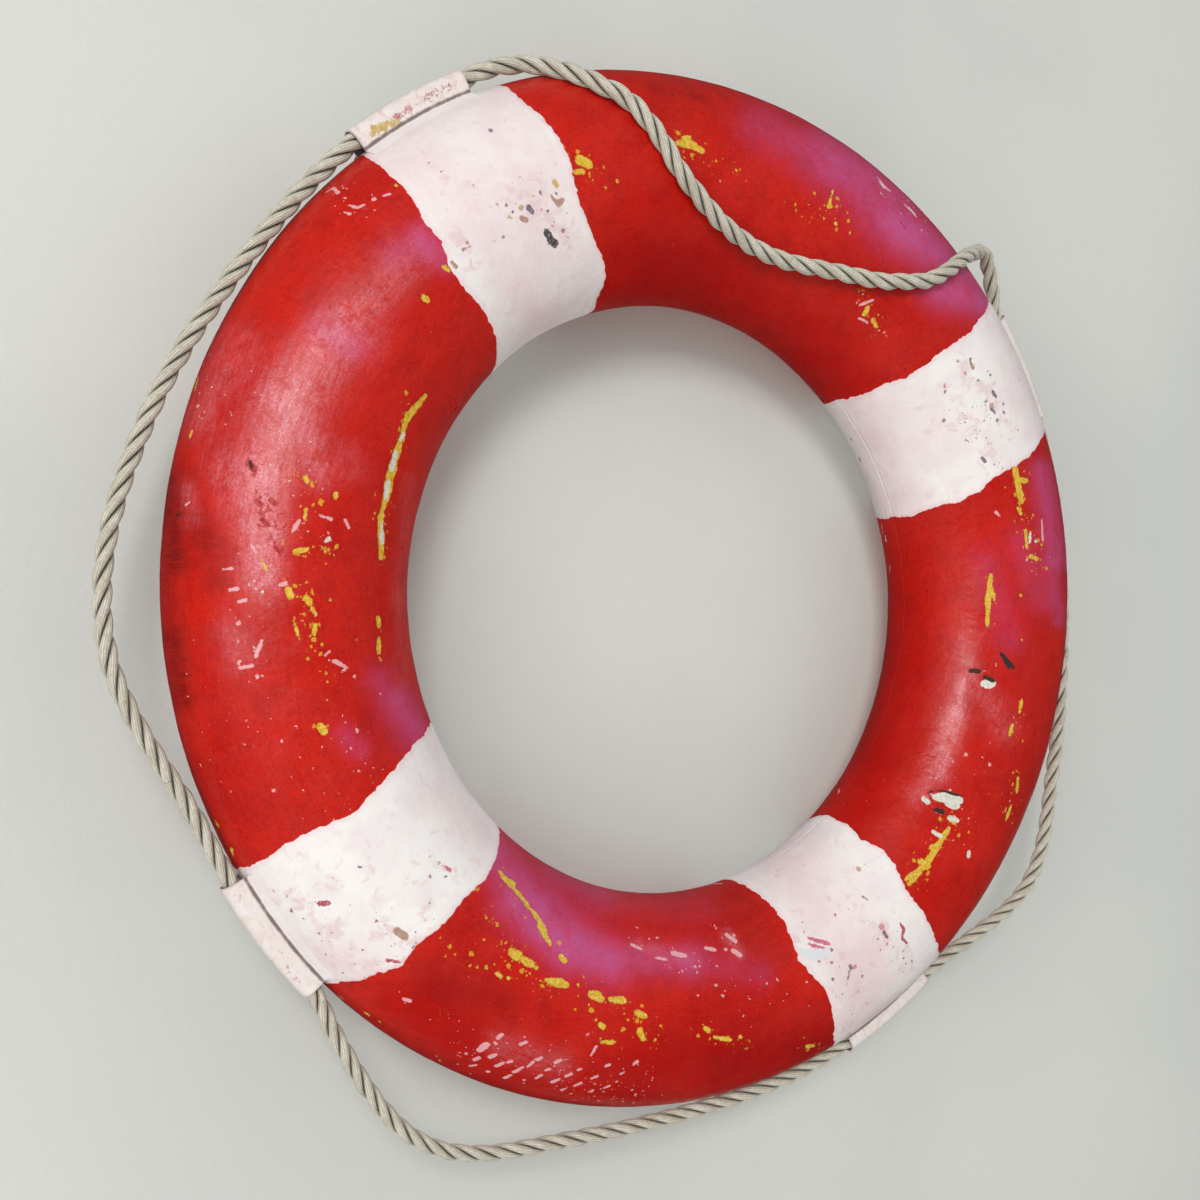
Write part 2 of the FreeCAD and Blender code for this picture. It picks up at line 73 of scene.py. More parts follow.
# ---------------------------------------------------------------- camera
CAM_DIST, CAM_AZIMUTH, CAM_ELEVATION = 965.18, -0.46664, 0.06515  # mm, radians
CAM_TARGET = (-105.12, 0, -99.96)
LENS, SENSOR = 40.0434, 36.0
SHIFT_X, SHIFT_Y = 0.03875, 0.1168  # parts of the sensor's width

# Wear on the visible face is laid out on the camera's view plane, so it follows the camera.
# The grid's x runs right and its y runs down from the top left corner of the view.
VIEW_SPAN = 1200
VIEW_X = (0.5 - SHIFT_X) * VIEW_SPAN  # where the line of sight meets the grid
VIEW_Y = (0.5 + SHIFT_Y) * VIEW_SPAN
VIEW_DIST = LENS / SENSOR * VIEW_SPAN


def camera_axes():
    """Camera position and its forward, right and up directions."""
    forward = -np.array([math.sin(CAM_AZIMUTH) * math.cos(CAM_ELEVATION),
                         -math.cos(CAM_AZIMUTH) * math.cos(CAM_ELEVATION),
                         math.sin(CAM_ELEVATION)])
    right = np.cross(forward, [0, 0, 1.0])
    right /= np.linalg.norm(right)
    return -forward * CAM_DIST + np.array(CAM_TARGET), forward, right, np.cross(right, forward)


EYE, FORWARD, RIGHT, UP = camera_axes()


def section_level(points):
    """Below 1 inside the ring's elliptical tube, above 1 outside it."""
    radius = np.hypot(points[..., 0], points[..., 2])
    return ((radius - RING_R) / HALF_W) ** 2 + (points[..., 1] / HALF_D) ** 2


def ring_point(x, y):
    """The point of the ring met by the sight line through a place on the view grid."""
    ray = FORWARD + RIGHT * (x - VIEW_X) / VIEW_DIST - UP * (y - VIEW_Y) / VIEW_DIST
    ray /= np.linalg.norm(ray)
    reach = np.arange(500, 1700, 1.0)
    points = EYE + reach[:, None] * ray
    level = section_level(points)
    inside = np.where(level < 1)[0]
    if not len(inside):
        return points[level.argmin()]
    outer, inner = reach[inside[0] - 1], reach[inside[0]]
    for _ in range(14):
        middle = (outer + inner) / 2
        if section_level(EYE + middle * ray) < 1:
            inner = middle
        else:
            outer = middle
    return EYE + inner * ray


def project(points):
    """View grid x and y of points in space."""
    offset = points - EYE
    depth = offset @ FORWARD
    return (VIEW_X + VIEW_DIST * (offset @ RIGHT) / depth,
            VIEW_Y - VIEW_DIST * (offset @ UP) / depth)


# ---------------------------------------------------------------- noise and easing
def lattice_hash(i, j, k, seed):
    n = (i * 374761393 + j * 668265263 + k * 2147483647 + seed * 1274126177) & 0xFFFFFFFF
    n = ((n ^ (n >> 13)) * 1274126177) & 0xFFFFFFFF
    n = n ^ (n >> 16)
    return (n & 0xFFFFFF) / float(0xFFFFFF) * 2 - 1


def vnoise(points, scale, seed=0):
    """Value noise from -1 to 1 on a lattice of the given pitch."""
    scaled = points / scale
    cell = np.floor(scaled).astype(np.int64)
    part = scaled - cell
    ease = part * part * (3 - 2 * part)
    total = 0
    for i in (0, 1):
        for j in (0, 1):
            for k in (0, 1):
                value = lattice_hash(cell[:, 0] + i, cell[:, 1] + j, cell[:, 2] + k, seed)
                for axis, upper in enumerate((i, j, k)):
                    value = value * (ease[:, axis] if upper else 1 - ease[:, axis])
                total = total + value
    return total


def fbm(points, scale, octaves=3, seed=0):
    total, gain = 0, 1.0
    for octave in range(octaves):
        total = total + gain * vnoise(points, scale, seed + 17 * octave)
        scale, gain = scale * 0.5, gain * 0.5
    return total / 1.75


def smooth(value, start, stop):
    t = np.clip((value - start) / (stop - start), 0, 1)
    return t * t * (3 - 2 * t)


def wrap(degrees):
    return (degrees + 180) % 360 - 180


# ---------------------------------------------------------------- white bands
# First and last ring angle of each band, at 16 even section angles from -180 to 0.
BAND_SECTIONS = np.linspace(-180, 0, 16)
BANDS = {
    "top left": (
        [110.6, 110.9, 111.8, 111.2, 111.8, 113.2, 114.2, 114.5,
         113.8, 113.8, 114.0, 114.8, 114.8, 114.2, 114.2, 114.4],
        [135.9, 135.9, 135.5, 135.2, 135.0, 135.0, 135.8, 136.0,
         134.5, 134.2, 133.2, 132.8, 132.5, 131.8, 131.2, 131.0]),
    "top right": (
        [19.8, 19.5, 19.5, 20.0, 19.8, 20.2, 21.8, 22.0,
         22.5, 23.0, 23.8, 24.0, 24.2, 24.0, 23.8, 23.9],
        [48.0, 47.5, 46.8, 46.5, 45.0, 44.8, 44.5, 44.0,
         43.2, 43.5, 43.2, 43.0, 43.1, 42.8, 42.9, 42.6]),
    "bottom right": (
        [283.2, 283.5, 283.8, 284.8, 285.2, 285.0, 284.5, 286.2,
         287.8, 288.2, 288.5, 288.8, 289.5, 290.0, 290.3, 290.4],
        [310.2, 309.8, 309.8, 308.8, 309.8, 309.2, 308.0, 307.8,
         307.8, 307.8, 308.0, 308.2, 309.0, 309.6, 309.9, 310.0]),
    "bottom left": (
        [201.5, 201.6, 201.8, 202.0, 202.2, 203.2, 204.2, 205.2,
         206.2, 206.0, 206.0, 206.2, 207.0, 207.2, 207.5, 207.6],
        [225.0, 225.0, 225.0, 225.0, 225.5, 225.5, 224.5, 224.2,
         224.2, 223.5, 224.5, 223.5, 223.2, 222.5, 222.5, 222.4]),
}


def band_depth(ring_deg, section_deg, radius):
    """Distance into a white band, positive on the white paint."""
    best = np.full(ring_deg.shape, -1e3)
    front_deg = np.where(section_deg > 0, -section_deg, section_deg)
    for firsts, lasts in BANDS.values():
        first = np.interp(front_deg, BAND_SECTIONS, firsts)
        last = np.interp(front_deg, BAND_SECTIONS, lasts)
        off = np.abs(wrap(ring_deg - (first + last) / 2))
        best = np.maximum(best, np.radians((last - first) / 2 - off) * radius)
    return best


# ---------------------------------------------------------------- sharp marks
# Each row is a width, then the x,y places of a line on the view grid.
CHIPS = {
    # chips down to the yellow undercoat
    "yel": [
        (7, 425,396, 418,405, 409,416, 404,428, 403,440),
        (10, 400,441, 395,459, 391,475, 387,494, 384,506),
        (9, 383,508, 381,518, 381,534, 381,557), (4, 407,413, 398,452), (5, 378,618, 379,626),
        (5, 379,638, 379,652), (6, 424,297, 427,299), (4, 445,267, 448,270), (3, 396,185),
        (5, 294,551, 308,549), (4, 305,478, 308,482), (3, 306,508, 304,524),
        (3, 320,545, 326,552), (4, 336,494, 335,499), (6, 306,598, 310,603),
        (5, 312,609, 316,614), (5, 288,590, 291,596), (5, 315,626, 314,634), (4, 308,659),
        (4, 326,673), (8, 320,727, 324,731), (3, 344,739), (3, 262,560, 266,570),
        (2, 293,620, 300,640), (3, 327,700), (3, 356,640), (3, 330,600), (3, 268,604),
        (10, 580,160, 588,164), (4, 576,172, 583,171), (3, 590,155),
        (9, 678,143, 692,145, 703,151), (4, 683,138, 690,137), (3, 736,170), (3, 720,181),
        (4, 830,206), (3, 836,224), (2, 796,211), (3, 850,233), (3, 617,181),
        (2, 833,190, 828,208), (8, 1013,459, 1016,473, 1019,488, 1022,502),
        (5, 1019,480, 1027,481), (4, 1018,508, 1021,513), (4, 1026,530, 1027,548),
        (4, 1030,556, 1038,560), (3, 1042,545), (5, 991,575, 988,600, 987,625),
        (3, 991,585, 994,600), (3, 1021,595), (4, 1022,700, 1020,712), (5, 1013,724, 1010,734),
        (5, 1018,778, 1017,792), (5, 1011,806, 1006,820), (2, 1022,640),
        (7, 949,828, 941,841, 931,857, 922,868, 909,884), (6, 939,846, 932,848),
        (6, 921,862, 928,866), (5, 914,873, 906,880), (4, 949,818, 954,823),
        (4, 868,308, 864,314), (4, 873,321, 877,327),
        (5, 499,871, 510,884, 522,898, 535,914, 543,927, 550,944), (6, 502,877, 514,884),
        (4, 539,925, 547,942), (9, 512,952, 518,956), (8, 524,960, 531,964),
        (5, 497,974, 501,977), (4, 508,978), (8, 546,980, 567,985), (10, 590,994, 602,999),
        (7, 610,999, 625,1001), (7, 636,1012, 646,1016), (6, 639,1030, 643,1038),
        (5, 602,1042, 614,1042), (4, 600,1024, 603,1027), (4, 561,957, 565,961),
        (5, 705,1028, 709,1031), (4, 714,1037, 731,1040), (4, 740,1037),
        (5, 806,1046, 814,1046), (3, 486,967), (4, 536,968), (3, 578,985), (3, 655,1040),
    ],
    # chips down to the white filler
    "wht": [
        (7, 396,452, 392,470), (6, 389,480, 386,498), (5, 382,522, 382,544),
        (5, 325,542, 329,538), (3, 262,592), (3, 345,669, 342,672), (3, 909,207, 916,216),
        (3, 880,182, 884,187), (4, 1031,532, 1030,542), (3, 1036,541), (3, 1027,560),
        (10, 984,684, 994,684), (11, 936,797, 946,797, 960,800), (8, 948,804, 958,806),
        (5, 950,818, 957,820), (5, 969,853, 969,856), (5, 924,799, 928,802),
        (4, 933,832, 941,836), (4, 404,434, 401,440),
    ],
    # chips down to the dark laminate
    "drk": [
        (3, 929,792, 938,790, 962,796), (4, 936,810, 943,812), (5, 1001,654, 1008,661, 1014,668),
        (3, 1003,658, 1010,669), (4, 986,677, 994,681), (2, 1001,554), (4, 971,671, 979,671),
        (3, 673,94), (2, 905,228, 901,222), (2, 1010,640), (3, 940,822), (3, 176,515, 183,516),
        (3, 174,688, 184,690), (2, 250,462, 252,470),
    ],
    # scratches in the red paint
    "scr": [
        (3, 326,192, 333,188, 338,193), (3, 348,205, 357,208, 364,205), (2, 383,196, 390,194),
        (2, 345,212, 350,214), (3, 632,945, 641,949), (4, 672,953, 686,956),
        (4, 727,935, 735,941), (4, 733,951, 740,955), (3, 705,948, 715,950),
        (2, 655,958, 668,960), (7, 480,1050, 486,1045), (5, 490,1057, 495,1055),
        (4, 474,1060, 479,1058), (3, 470,1066, 476,1065), (4, 496,1066, 503,1063),
        (4, 508,1062, 511,1061), (4, 498,1038, 501,1035), (4, 521,1044, 526,1042),
        (3, 514,1072, 523,1067), (4, 528,1066, 533,1062), (3, 538,1060, 541,1058),
        (3, 505,1078, 511,1075), (3, 536,1078, 541,1075), (3, 546,1070, 549,1069),
        (3, 556,1062, 560,1060), (3, 552,1082, 559,1079), (3, 566,1076, 571,1074),
        (2, 578,1070, 581,1069), (3, 574,1086, 581,1083), (3, 592,1078, 597,1076),
        (3, 606,1066, 609,1065), (2, 604,1088, 609,1086), (2, 620,1074, 624,1072),
        (3, 634,1064, 637,1062), (3, 488,1072), (3, 524,1080), (2, 562,1090, 567,1088),
        (2, 590,1056, 596,1046), (2, 483,1082), (2, 646,1074), (3, 466,1054),
        (2, 588,1092, 593,1090), (2, 186,505, 190,502), (2, 230,590, 238,588),
        (2, 222,570, 232,568), (2, 262,640, 256,655), (3, 240,668, 252,666),
        (3, 334,661, 347,668), (2, 325,655, 330,651), (3, 404,999, 410,1001),
        (3, 878,178, 888,190), (3, 904,204, 915,214), (2, 884,186, 890,191),
        (2, 860,305, 873,300), (2, 859,318, 868,323), (2, 1042,520, 1043,540),
        (2, 996,512, 1000,516), (2, 345,520, 349,528), (2, 238,602, 246,600),
        (3, 280,585, 286,583), (2, 251,545, 256,552), (3, 300,520, 292,532),
        (2, 320,515, 331,519),
    ],
    # dark red pits
    "pit": [
        (8, 248,463, 254,469), (7, 256,501, 261,505), (6, 271,500, 276,504),
        (6, 262,520, 268,525), (5, 276,548, 281,553), (4, 268,488), (3, 236,486), (3, 284,474),
        (3, 300,462), (3, 272,536, 268,545),
    ],
}
# Specks on the white bands. The first column is the colour, an index into SPECK_COLOURS.
SPECKS = [
    (0, 8, 547,233, 551,239), (0, 10, 551,241, 555,243), (1, 6, 529,208, 532,212),
    (2, 5, 522,218, 526,220), (2, 6, 551,196, 558,204, 563,200), (3, 5, 554,181, 557,186),
    (2, 5, 467,243), (2, 3, 463,250, 471,246), (1, 4, 503,237), (2, 3, 495,241),
    (1, 4, 513,212), (2, 5, 452,262, 456,266), (3, 3, 533,196), (4, 6, 320,903, 328,903),
    (5, 4, 445,866, 450,870), (2, 9, 397,931, 405,936), (4, 4, 387,960, 400,962),
    (1, 3, 395,944), (1, 3, 350,905), (5, 5, 809,938, 820,941, 829,944),
    (5, 3, 808,944, 824,948), (6, 11, 801,951, 815,956, 828,952), (1, 4, 850,966, 852,968),
    (1, 2, 850,970, 847,985), (4, 3, 899,922, 904,929, 902,938, 907,943),
    (2, 3, 863,897, 868,900), (1, 4, 884,932, 887,937), (6, 3, 889,956, 892,962),
    (5, 3, 835,915), (1, 4, 993,392, 996,397), (1, 4, 991,409, 995,413), (1, 4, 997,420),
    (1, 4, 982,458, 985,461), (1, 4, 944,420), (2, 4, 970,362, 973,368), (1, 3, 978,380),
    (1, 3, 986,402), (1, 2, 962,398), (1, 2, 975,430), (1, 3, 1003,404), (1, 3, 1010,440),
    (1, 3, 990,375),
]
MARK_REACH = 6.0  # how far from a mark its distance is still worked out


def mark_on_ring(width, *places, kind=0):
    """A mark as points on the ring, its half width and its colour index."""
    points = np.array([ring_point(*place) for place in zip(places[::2], places[1::2])])
    depth = float((points.mean(0) - EYE) @ FORWARD)
    fine = [points[0]]
    for start, end in zip(points[:-1], points[1:]):
        count = max(1, int(np.linalg.norm(end - start) / 4.0))
        fine += [start + (end - start) * k / count for k in range(1, count + 1)]
    return np.array(fine), width * depth / VIEW_DIST / 2.0, kind


def scatter_marks(seed, count, ring_range, section_range, half_width, stretch):
    """Seeded extra wear for the sides turned away from the camera."""
    rng = np.random.RandomState(seed)
    marks = []
    for _ in range(count):
        ring = math.radians(rng.uniform(*ring_range))
        section = math.radians(rng.uniform(*section_range))
        length = rng.exponential(stretch) + 0.4
        heading = rng.uniform(0, 2 * math.pi) if rng.rand() < 0.4 else rng.normal(0, 0.35)
        points = []
        for part in np.linspace(-0.5, 0.5, 3):
            turn = section + math.sin(heading) * part * length / 72.0
            radius = RING_R + HALF_W * math.cos(turn)
            angle = ring + math.cos(heading) * part * length / radius + rng.normal(0, 0.3) / radius
            points.append((radius * math.cos(angle), HALF_D * math.sin(turn),
                           radius * math.sin(angle)))
        marks.append((np.array(points), rng.uniform(*half_width), int(rng.randint(0, 5))))
    return marks


def mark_depth(points, marks):
    """Distance inside the nearest mark's edge, and that mark's colour index."""
    best = np.full(len(points), -MARK_REACH)
    kinds = np.zeros(len(points), np.float32)
    order = np.argsort(points[:, 0], kind="stable")
    sorted_x = points[order, 0]
    for line, half, kind in marks:
        low = line.min(0) - half - MARK_REACH
        high = line.max(0) + half + MARK_REACH
        index = order[np.searchsorted(sorted_x, low[0]):np.searchsorted(sorted_x, high[0])]
        near = points[index]
        keep = ((near[:, 1:] > low[1:]) & (near[:, 1:] < high[1:])).all(1)
        index, near = index[keep], near[keep]
        if not len(index):
            continue
        gap = np.full(len(near), 1e3)
        segments = list(zip(line[:-1], line[1:])) or [(line[0], line[0] + 0.01)]
        for n, (start, end) in enumerate(segments):
            run = end - start
            t = np.clip(((near - start) @ run) / max(run @ run, 1e-9), 0, 1)
            along = np.clip((n + t) / len(segments), 0, 1)
            # longer marks narrow towards their ends
            width = half
            if len(segments) > 1:
                width = half * (0.62 + 0.38 * np.sin(math.pi * along) ** 0.6)
            gap = np.minimum(gap, np.linalg.norm(near - start - t[:, None] * run, axis=1) - width)
        closer = -gap > best[index]
        best[index[closer]] = -gap[closer]
        kinds[index[closer]] = kind
    return best, kinds


FRONT_MARKS = {key: [mark_on_ring(*row) for row in rows] for key, rows in CHIPS.items()}
FRONT_MARKS["spk"] = [mark_on_ring(*row, kind=kind) for kind, *row in SPECKS]
ALL_ROUND = (0, 360)
BACK_MARKS = {
    "yel": scatter_marks(11, 70, ALL_ROUND, (25, 165), half_width=(0.7, 2.4), stretch=5.0)
    + scatter_marks(12, 30, ALL_ROUND, (-20, 15), half_width=(0.6, 1.8), stretch=4.0),
    "wht": scatter_marks(21, 26, ALL_ROUND, (20, 165), half_width=(0.8, 2.6), stretch=4.0),
    "drk": scatter_marks(31, 26, ALL_ROUND, (10, 170), half_width=(0.5, 1.6), stretch=5.0),
    "scr": scatter_marks(41, 110, ALL_ROUND, (5, 175), half_width=(0.4, 1.0), stretch=9.0),
    "pit": [],
    "spk": scatter_marks(51, 60, ALL_ROUND, (5, 175), half_width=(0.6, 1.8), stretch=2.0),
}

# ---------------------------------------------------------------- soft wear, painted shade and painted highlights
# Strokes on the view grid: x,y start, x,y end, half width, strength.
SOFT = {
    # pale fade, with painted highlights down the left segment and on the right segment
    "pale": [
        (420,250, 345,330, 20,.35), (350,330, 285,400, 30,.5), (285,400, 262,470, 28,.6),
        (262,470, 262,520, 20,.5), (262,520, 262,578, 20,.8), (310,440, 318,470, 20,.45),
        (240,345, 200,420, 22,.25), (225,470, 235,500, 20,.35), (232,635, 240,655, 18,.3),
        (188,490, 192,520, 10,.3), (350,450, 355,470, 12,.15), (408,480, 400,600, 8,.12),
        (400,600, 402,690, 10,.12), (963,681, 957,714, 6,.7), (957,714, 941,773, 9,.6),
        (990,700, 1005,730, 14,.25), (965,640, 975,690, 8,.3), (930,780, 915,800, 8,.25),
        (640,945, 690,960, 7,.3), (728,935, 740,955, 6,.4), (500,1045, 560,1065, 14,.25),
    ],
    "magenta": [
        (760,125, 830,165, 22,.35), (830,150, 900,225, 26,.65), (900,225, 960,270, 20,.85),
        (940,290, 985,300, 18,.8), (870,170, 905,195, 12,.5), (985,300, 1000,305, 8,.6),
        (420,235, 445,262, 12,.5), (395,255, 420,245, 16,.3), (1042,470, 1058,560, 12,.6),
        (1050,560, 1060,620, 8,.4), (1020,540, 1040,600, 14,.25), (985,560, 1010,640, 16,.2),
        (490,850, 540,910, 20,.8), (520,905, 570,950, 22,.8), (560,930, 610,965, 22,.65),
        (600,955, 690,965, 16,.5), (560,870, 600,890, 22,.35), (690,955, 760,975, 14,.25),
        (600,900, 700,905, 20,.12), (400,700, 420,730, 12,.6), (380,680, 410,740, 16,.3),
        (345,735, 360,750, 12,.3), (320,330, 355,345, 16,.3),
    ],
    # soot streaks on the left rim, and painted shade on the inner side and underneath
    "dirt_and_shade": [
        (167,480, 174,560, 17,.85), (174,640, 182,700, 14,.75), (169,560, 169,640, 9,.4),
        (205,540, 215,580, 16,.35), (200,520, 215,545, 14,.4), (860,760, 890,640, 10,.2),
        (650,88, 700,98, 6,.3), (430,985, 500,1005, 20,.25), (720,1060, 820,1040, 16,.25),
        (740,900, 760,960, 24,.15), (610,240, 700,270, 24,.2),
    ],
    # painted shade along the inner top, the underside and the inner right
    "painted_shade": [
        (560,285, 640,270, 34,.8), (640,270, 720,290, 40,.9), (720,290, 800,345, 40,.9),
        (800,345, 860,395, 30,.9), (640,205, 690,200, 20,.5), (430,1000, 500,1075, 26,.8),
        (400,1000, 470,1040, 22,.8), (500,1075, 640,1110, 34,.9), (640,1060, 740,1060, 34,.95),
        (740,1060, 830,1040, 34,.9), (440,985, 560,1020, 18,.5), (880,620, 870,760, 26,.6),
        (905,560, 900,700, 22,.5), (880,760, 840,830, 24,.7), (960,900, 900,900, 26,.4),
    ],
    "ydots": [
        (300,470, 312,500, 12,.55), (290,545, 330,552, 10,.75), (300,590, 315,640, 12,.75),
        (318,650, 328,680, 8,.55), (321,729, 330,735, 8,.5), (379,615, 380,655, 4,.7),
        (384,500, 382,557, 6,.5), (405,405, 385,520, 8,.5), (575,158, 592,175, 11,.75),
        (545,150, 560,200, 12,.25), (675,138, 705,152, 12,.7), (800,205, 840,215, 12,.45),
        (862,300, 878,330, 9,.7), (1012,460, 1024,505, 9,.55), (1022,515, 1040,565, 9,.75),
        (988,575, 990,628, 5,.5), (1015,595, 1025,600, 6,.4), (1012,705, 1020,740, 6,.55),
        (1015,775, 1005,825, 7,.55), (950,820, 910,885, 10,.65), (940,805, 960,830, 9,.5),
        (497,872, 552,945, 6,.45), (495,945, 545,985, 15,.65), (590,990, 650,1035, 15,.6),
        (600,1040, 620,1045, 8,.55), (700,1028, 745,1042, 10,.55), (800,1045, 820,1048, 6,.45),
        (440,935, 470,960, 12,.3), (480,905, 500,930, 10,.3), (424,298, 426,300, 7,.5),
        (730,165, 745,175, 8,.4), (715,180, 725,184, 7,.4),
    ],
    "wdots": [
        (325,185, 365,212, 12,.65), (230,560, 260,600, 10,.4), (300,520, 330,550, 10,.45),
        (225,590, 262,680, 14,.35), (330,655, 350,675, 8,.55), (385,690, 400,720, 8,.35),
        (350,720, 372,770, 12,.35), (875,178, 920,220, 12,.45), (860,300, 880,325, 8,.5),
        (1025,525, 1045,565, 8,.45), (965,640, 1000,680, 14,.3), (935,790, 965,830, 12,.6),
        (955,700, 945,780, 12,.35), (980,760, 1010,800, 12,.25), (475,1045, 640,1088, 22,.5),
        (630,935, 690,960, 12,.4), (720,930, 745,960, 9,.5), (560,1085, 640,1095, 10,.4),
        (400,1000, 410,1003, 5,.45), (700,960, 780,1000, 30,.2), (440,1020, 480,1060, 14,.35),
        (200,380, 300,470, 40,.2), (210,700, 330,800, 60,.12),
    ],
    "pits": [
        (240,455, 275,520, 18,.65), (262,510, 285,560, 14,.65), (300,470, 320,520, 14,.4),
        (210,390, 270,430, 20,.3), (330,190, 345,215, 10,.35), (165,470, 185,560, 10,.55),
        (170,640, 180,690, 8,.55), (1000,545, 1010,560, 6,.45), (1000,650, 1015,672, 8,.65),
        (930,790, 965,815, 8,.45), (1000,620, 1030,680, 14,.35), (905,880, 960,830, 12,.35),
        (740,900, 800,960, 20,.3), (700,1030, 750,1045, 14,.4), (390,985, 440,1000, 14,.25),
        (840,205, 900,250, 18,.35), (650,85, 700,100, 10,.4), (600,130, 640,180, 16,.25),
        (700,160, 800,200, 20,.2), (290,540, 330,640, 18,.35),
    ],
    "blush": [
        (860,400, 900,495, 26,.55), (900,420, 960,430, 30,.25), (790,870, 860,960, 40,.5),
        (860,960, 860,1020, 30,.55), (520,290, 545,330, 24,.5), (410,150, 500,230, 40,.5),
        (500,110, 560,250, 44,.42), (320,960, 370,975, 22,.5), (440,800, 480,830, 22,.3),
        (1000,330, 1030,430, 16,.3), (240,880, 300,960, 14,.35),
    ],
    "kdots": [
        (455,235, 475,260, 9,.8), (520,200, 560,225, 13,.75), (495,125, 515,130, 7,.45),
        (430,165, 445,180, 9,.4), (460,175, 500,200, 14,.35), (540,180, 570,240, 12,.45),
        (290,895, 330,925, 14,.65), (300,860, 340,880, 12,.4), (385,925, 415,945, 12,.7),
        (380,960, 420,970, 8,.65), (330,935, 370,975, 16,.45), (430,860, 455,875, 7,.55),
        (360,860, 380,900, 12,.35), (410,880, 440,930, 12,.35), (800,935, 830,960, 10,.6),
        (840,905, 880,925, 12,.45), (845,965, 860,1000, 10,.55), (880,930, 910,965, 10,.55),
        (835,990, 850,1040, 10,.45), (860,870, 880,890, 10,.35), (950,395, 1000,470, 12,.6),
        (985,380, 1005,430, 9,.68), (960,360, 985,400, 10,.45), (940,415, 950,430, 6,.55),
    ],
}
# The same wear and painted shade away from the camera: ring angle, section angle, their half
# widths, strength.
WEAR_AND_SHADE = {
    "pale": [(60, 60, 22, 16, .5), (150, 70, 26, 14, .45), (330, 60, 20, 16, .5),
             (250, 75, 24, 14, .4), (10, 130, 18, 16, .3), (200, 25, 16, 14, .35)],
    "magenta": [(95, 55, 24, 20, .6), (265, 50, 20, 20, .55), (185, 120, 18, 16, .4),
                (350, 40, 16, 18, .5), (75, -20, 18, 18, .45), (350, -20, 20, 16, .4)],
    # dirt at the left rim, and painted shade round the inner hole and on the back by the wall
    "dirt_and_shade": [(178, 2, 12, 20, .6), (90, 172, 60, 14, .35), (270, 172, 60, 14, .35),
             (0, 172, 60, 14, .35), (180, 172, 60, 14, .35), (30, 88, 50, 12, .4),
             (150, 88, 50, 12, .4), (270, 88, 70, 12, .4)],
    # painted shade on the hidden side
    "painted_shade": [(20, 175, 40, 40, .5), (200, 10, 40, 30, .4)],
    "ydots": [(44, 58, 12, 16, .55), (100, 74, 16, 12, .4), (158, 50, 13, 14, .55),
              (232, 66, 16, 14, .45), (306, 58, 16, 16, .5), (70, 132, 13, 14, .4),
              (192, 128, 12, 12, .35), (256, 140, 16, 14, .4)],
    "wdots": [(84, 52, 16, 16, .45), (200, 60, 18, 14, .4), (334, 60, 18, 16, .5),
              (20, 130, 18, 14, .4), (142, 138, 16, 12, .35), (286, 124, 15, 14, .4),
              (245, -20, 26, 16, .3), (60, 90, 60, 30, .1), (240, 90, 60, 30, .1)],
    "pits": [(ring, 40, 60, 26, .25) for ring in (60, 180, 300)],
    "blush": [(ring, 60, 20, 60, .4) for ring in (34, 124, 213, 298)],
    "kdots": [(34, 60, 16, 60, .3), (124, 60, 16, 60, .35), (213, 60, 16, 60, .35),
              (298, 60, 16, 60, .3)],
}


def stroke(view_x, view_y, x0, y0, x1, y1, width, strength):
    """Strength of one soft stroke at places on the view grid."""
    run_x, run_y = x1 - x0, y1 - y0
    t = ((view_x - x0) * run_x + (view_y - y0) * run_y) / (run_x * run_x + run_y * run_y)
    t = np.clip(t, 0, 1)
    gap2 = (view_x - x0 - t * run_x) ** 2 + (view_y - y0 - t * run_y) ** 2
    return strength * np.exp(-gap2 / (width * width))


def soft_wear_and_painted_light(key, view_x, view_y, facing, ring_deg, section_deg):
    """Strokes where the skin faces the camera, patches where it doesn't."""
    seen, hidden = np.zeros(len(view_x)), np.zeros(len(view_x))
    for row in SOFT[key]:
        seen = 1 - (1 - seen) * (1 - stroke(view_x, view_y, *row))
    for ring, section, ring_half, section_half, strength in WEAR_AND_SHADE[key]:
        bell = np.exp(-((wrap(ring_deg - ring) / ring_half) ** 2)
                      - (wrap(section_deg - section) / section_half) ** 2)
        hidden = 1 - (1 - hidden) * (1 - strength * bell)
    return seen * facing + hidden * (1 - facing)


# ---------------------------------------------------------------- mesh helpers
def add_object(name, data):
    ob = bpy.data.objects.new(name, data)
    bpy.context.scene.collection.objects.link(ob)
    return ob


def grid_quads(rows, columns, wrap_rows=False, flip=False):
    """Quads over a grid of vertices whose columns close on themselves."""
    row, column = np.meshgrid(np.arange(rows if wrap_rows else rows - 1), np.arange(columns),
                              indexing="ij")
    next_row, next_column = (row + 1) % rows, (column + 1) % columns
    corners = [row * columns + column, next_row * columns + column,
               next_row * columns + next_column, row * columns + next_column]
    if flip:
        corners = [corners[k] for k in (0, 3, 2, 1)]
    return np.stack(corners, -1).reshape(-1, 4)


def build_mesh(name, points, quads, caps=np.zeros((0, 1), int)):
    """Smooth quads, and flat caps with one row of vertex indices each."""
    me = bpy.data.meshes.new(name)
    loops = np.concatenate([quads.ravel(), caps.ravel()]).astype(np.int32)
    starts = np.concatenate([np.arange(0, quads.size, 4),
                             quads.size + np.arange(0, caps.size, caps.shape[1])])
    me.vertices.add(len(points))
    me.vertices.foreach_set("co", (points * MM).astype(np.float32).ravel())
    me.loops.add(len(loops))
    me.loops.foreach_set("vertex_index", loops)
    me.polygons.add(len(starts))
    me.polygons.foreach_set("loop_start", starts.astype(np.int32))
    me.polygons.foreach_set("use_smooth", np.arange(len(starts)) < len(quads))
    me.update()
    me.validate()
    return add_object(name, me)


def put(ob, name, values):
    layer = ob.data.attributes.new(name, "FLOAT", "POINT")
    layer.data.foreach_set("value", np.asarray(values, np.float32).ravel())


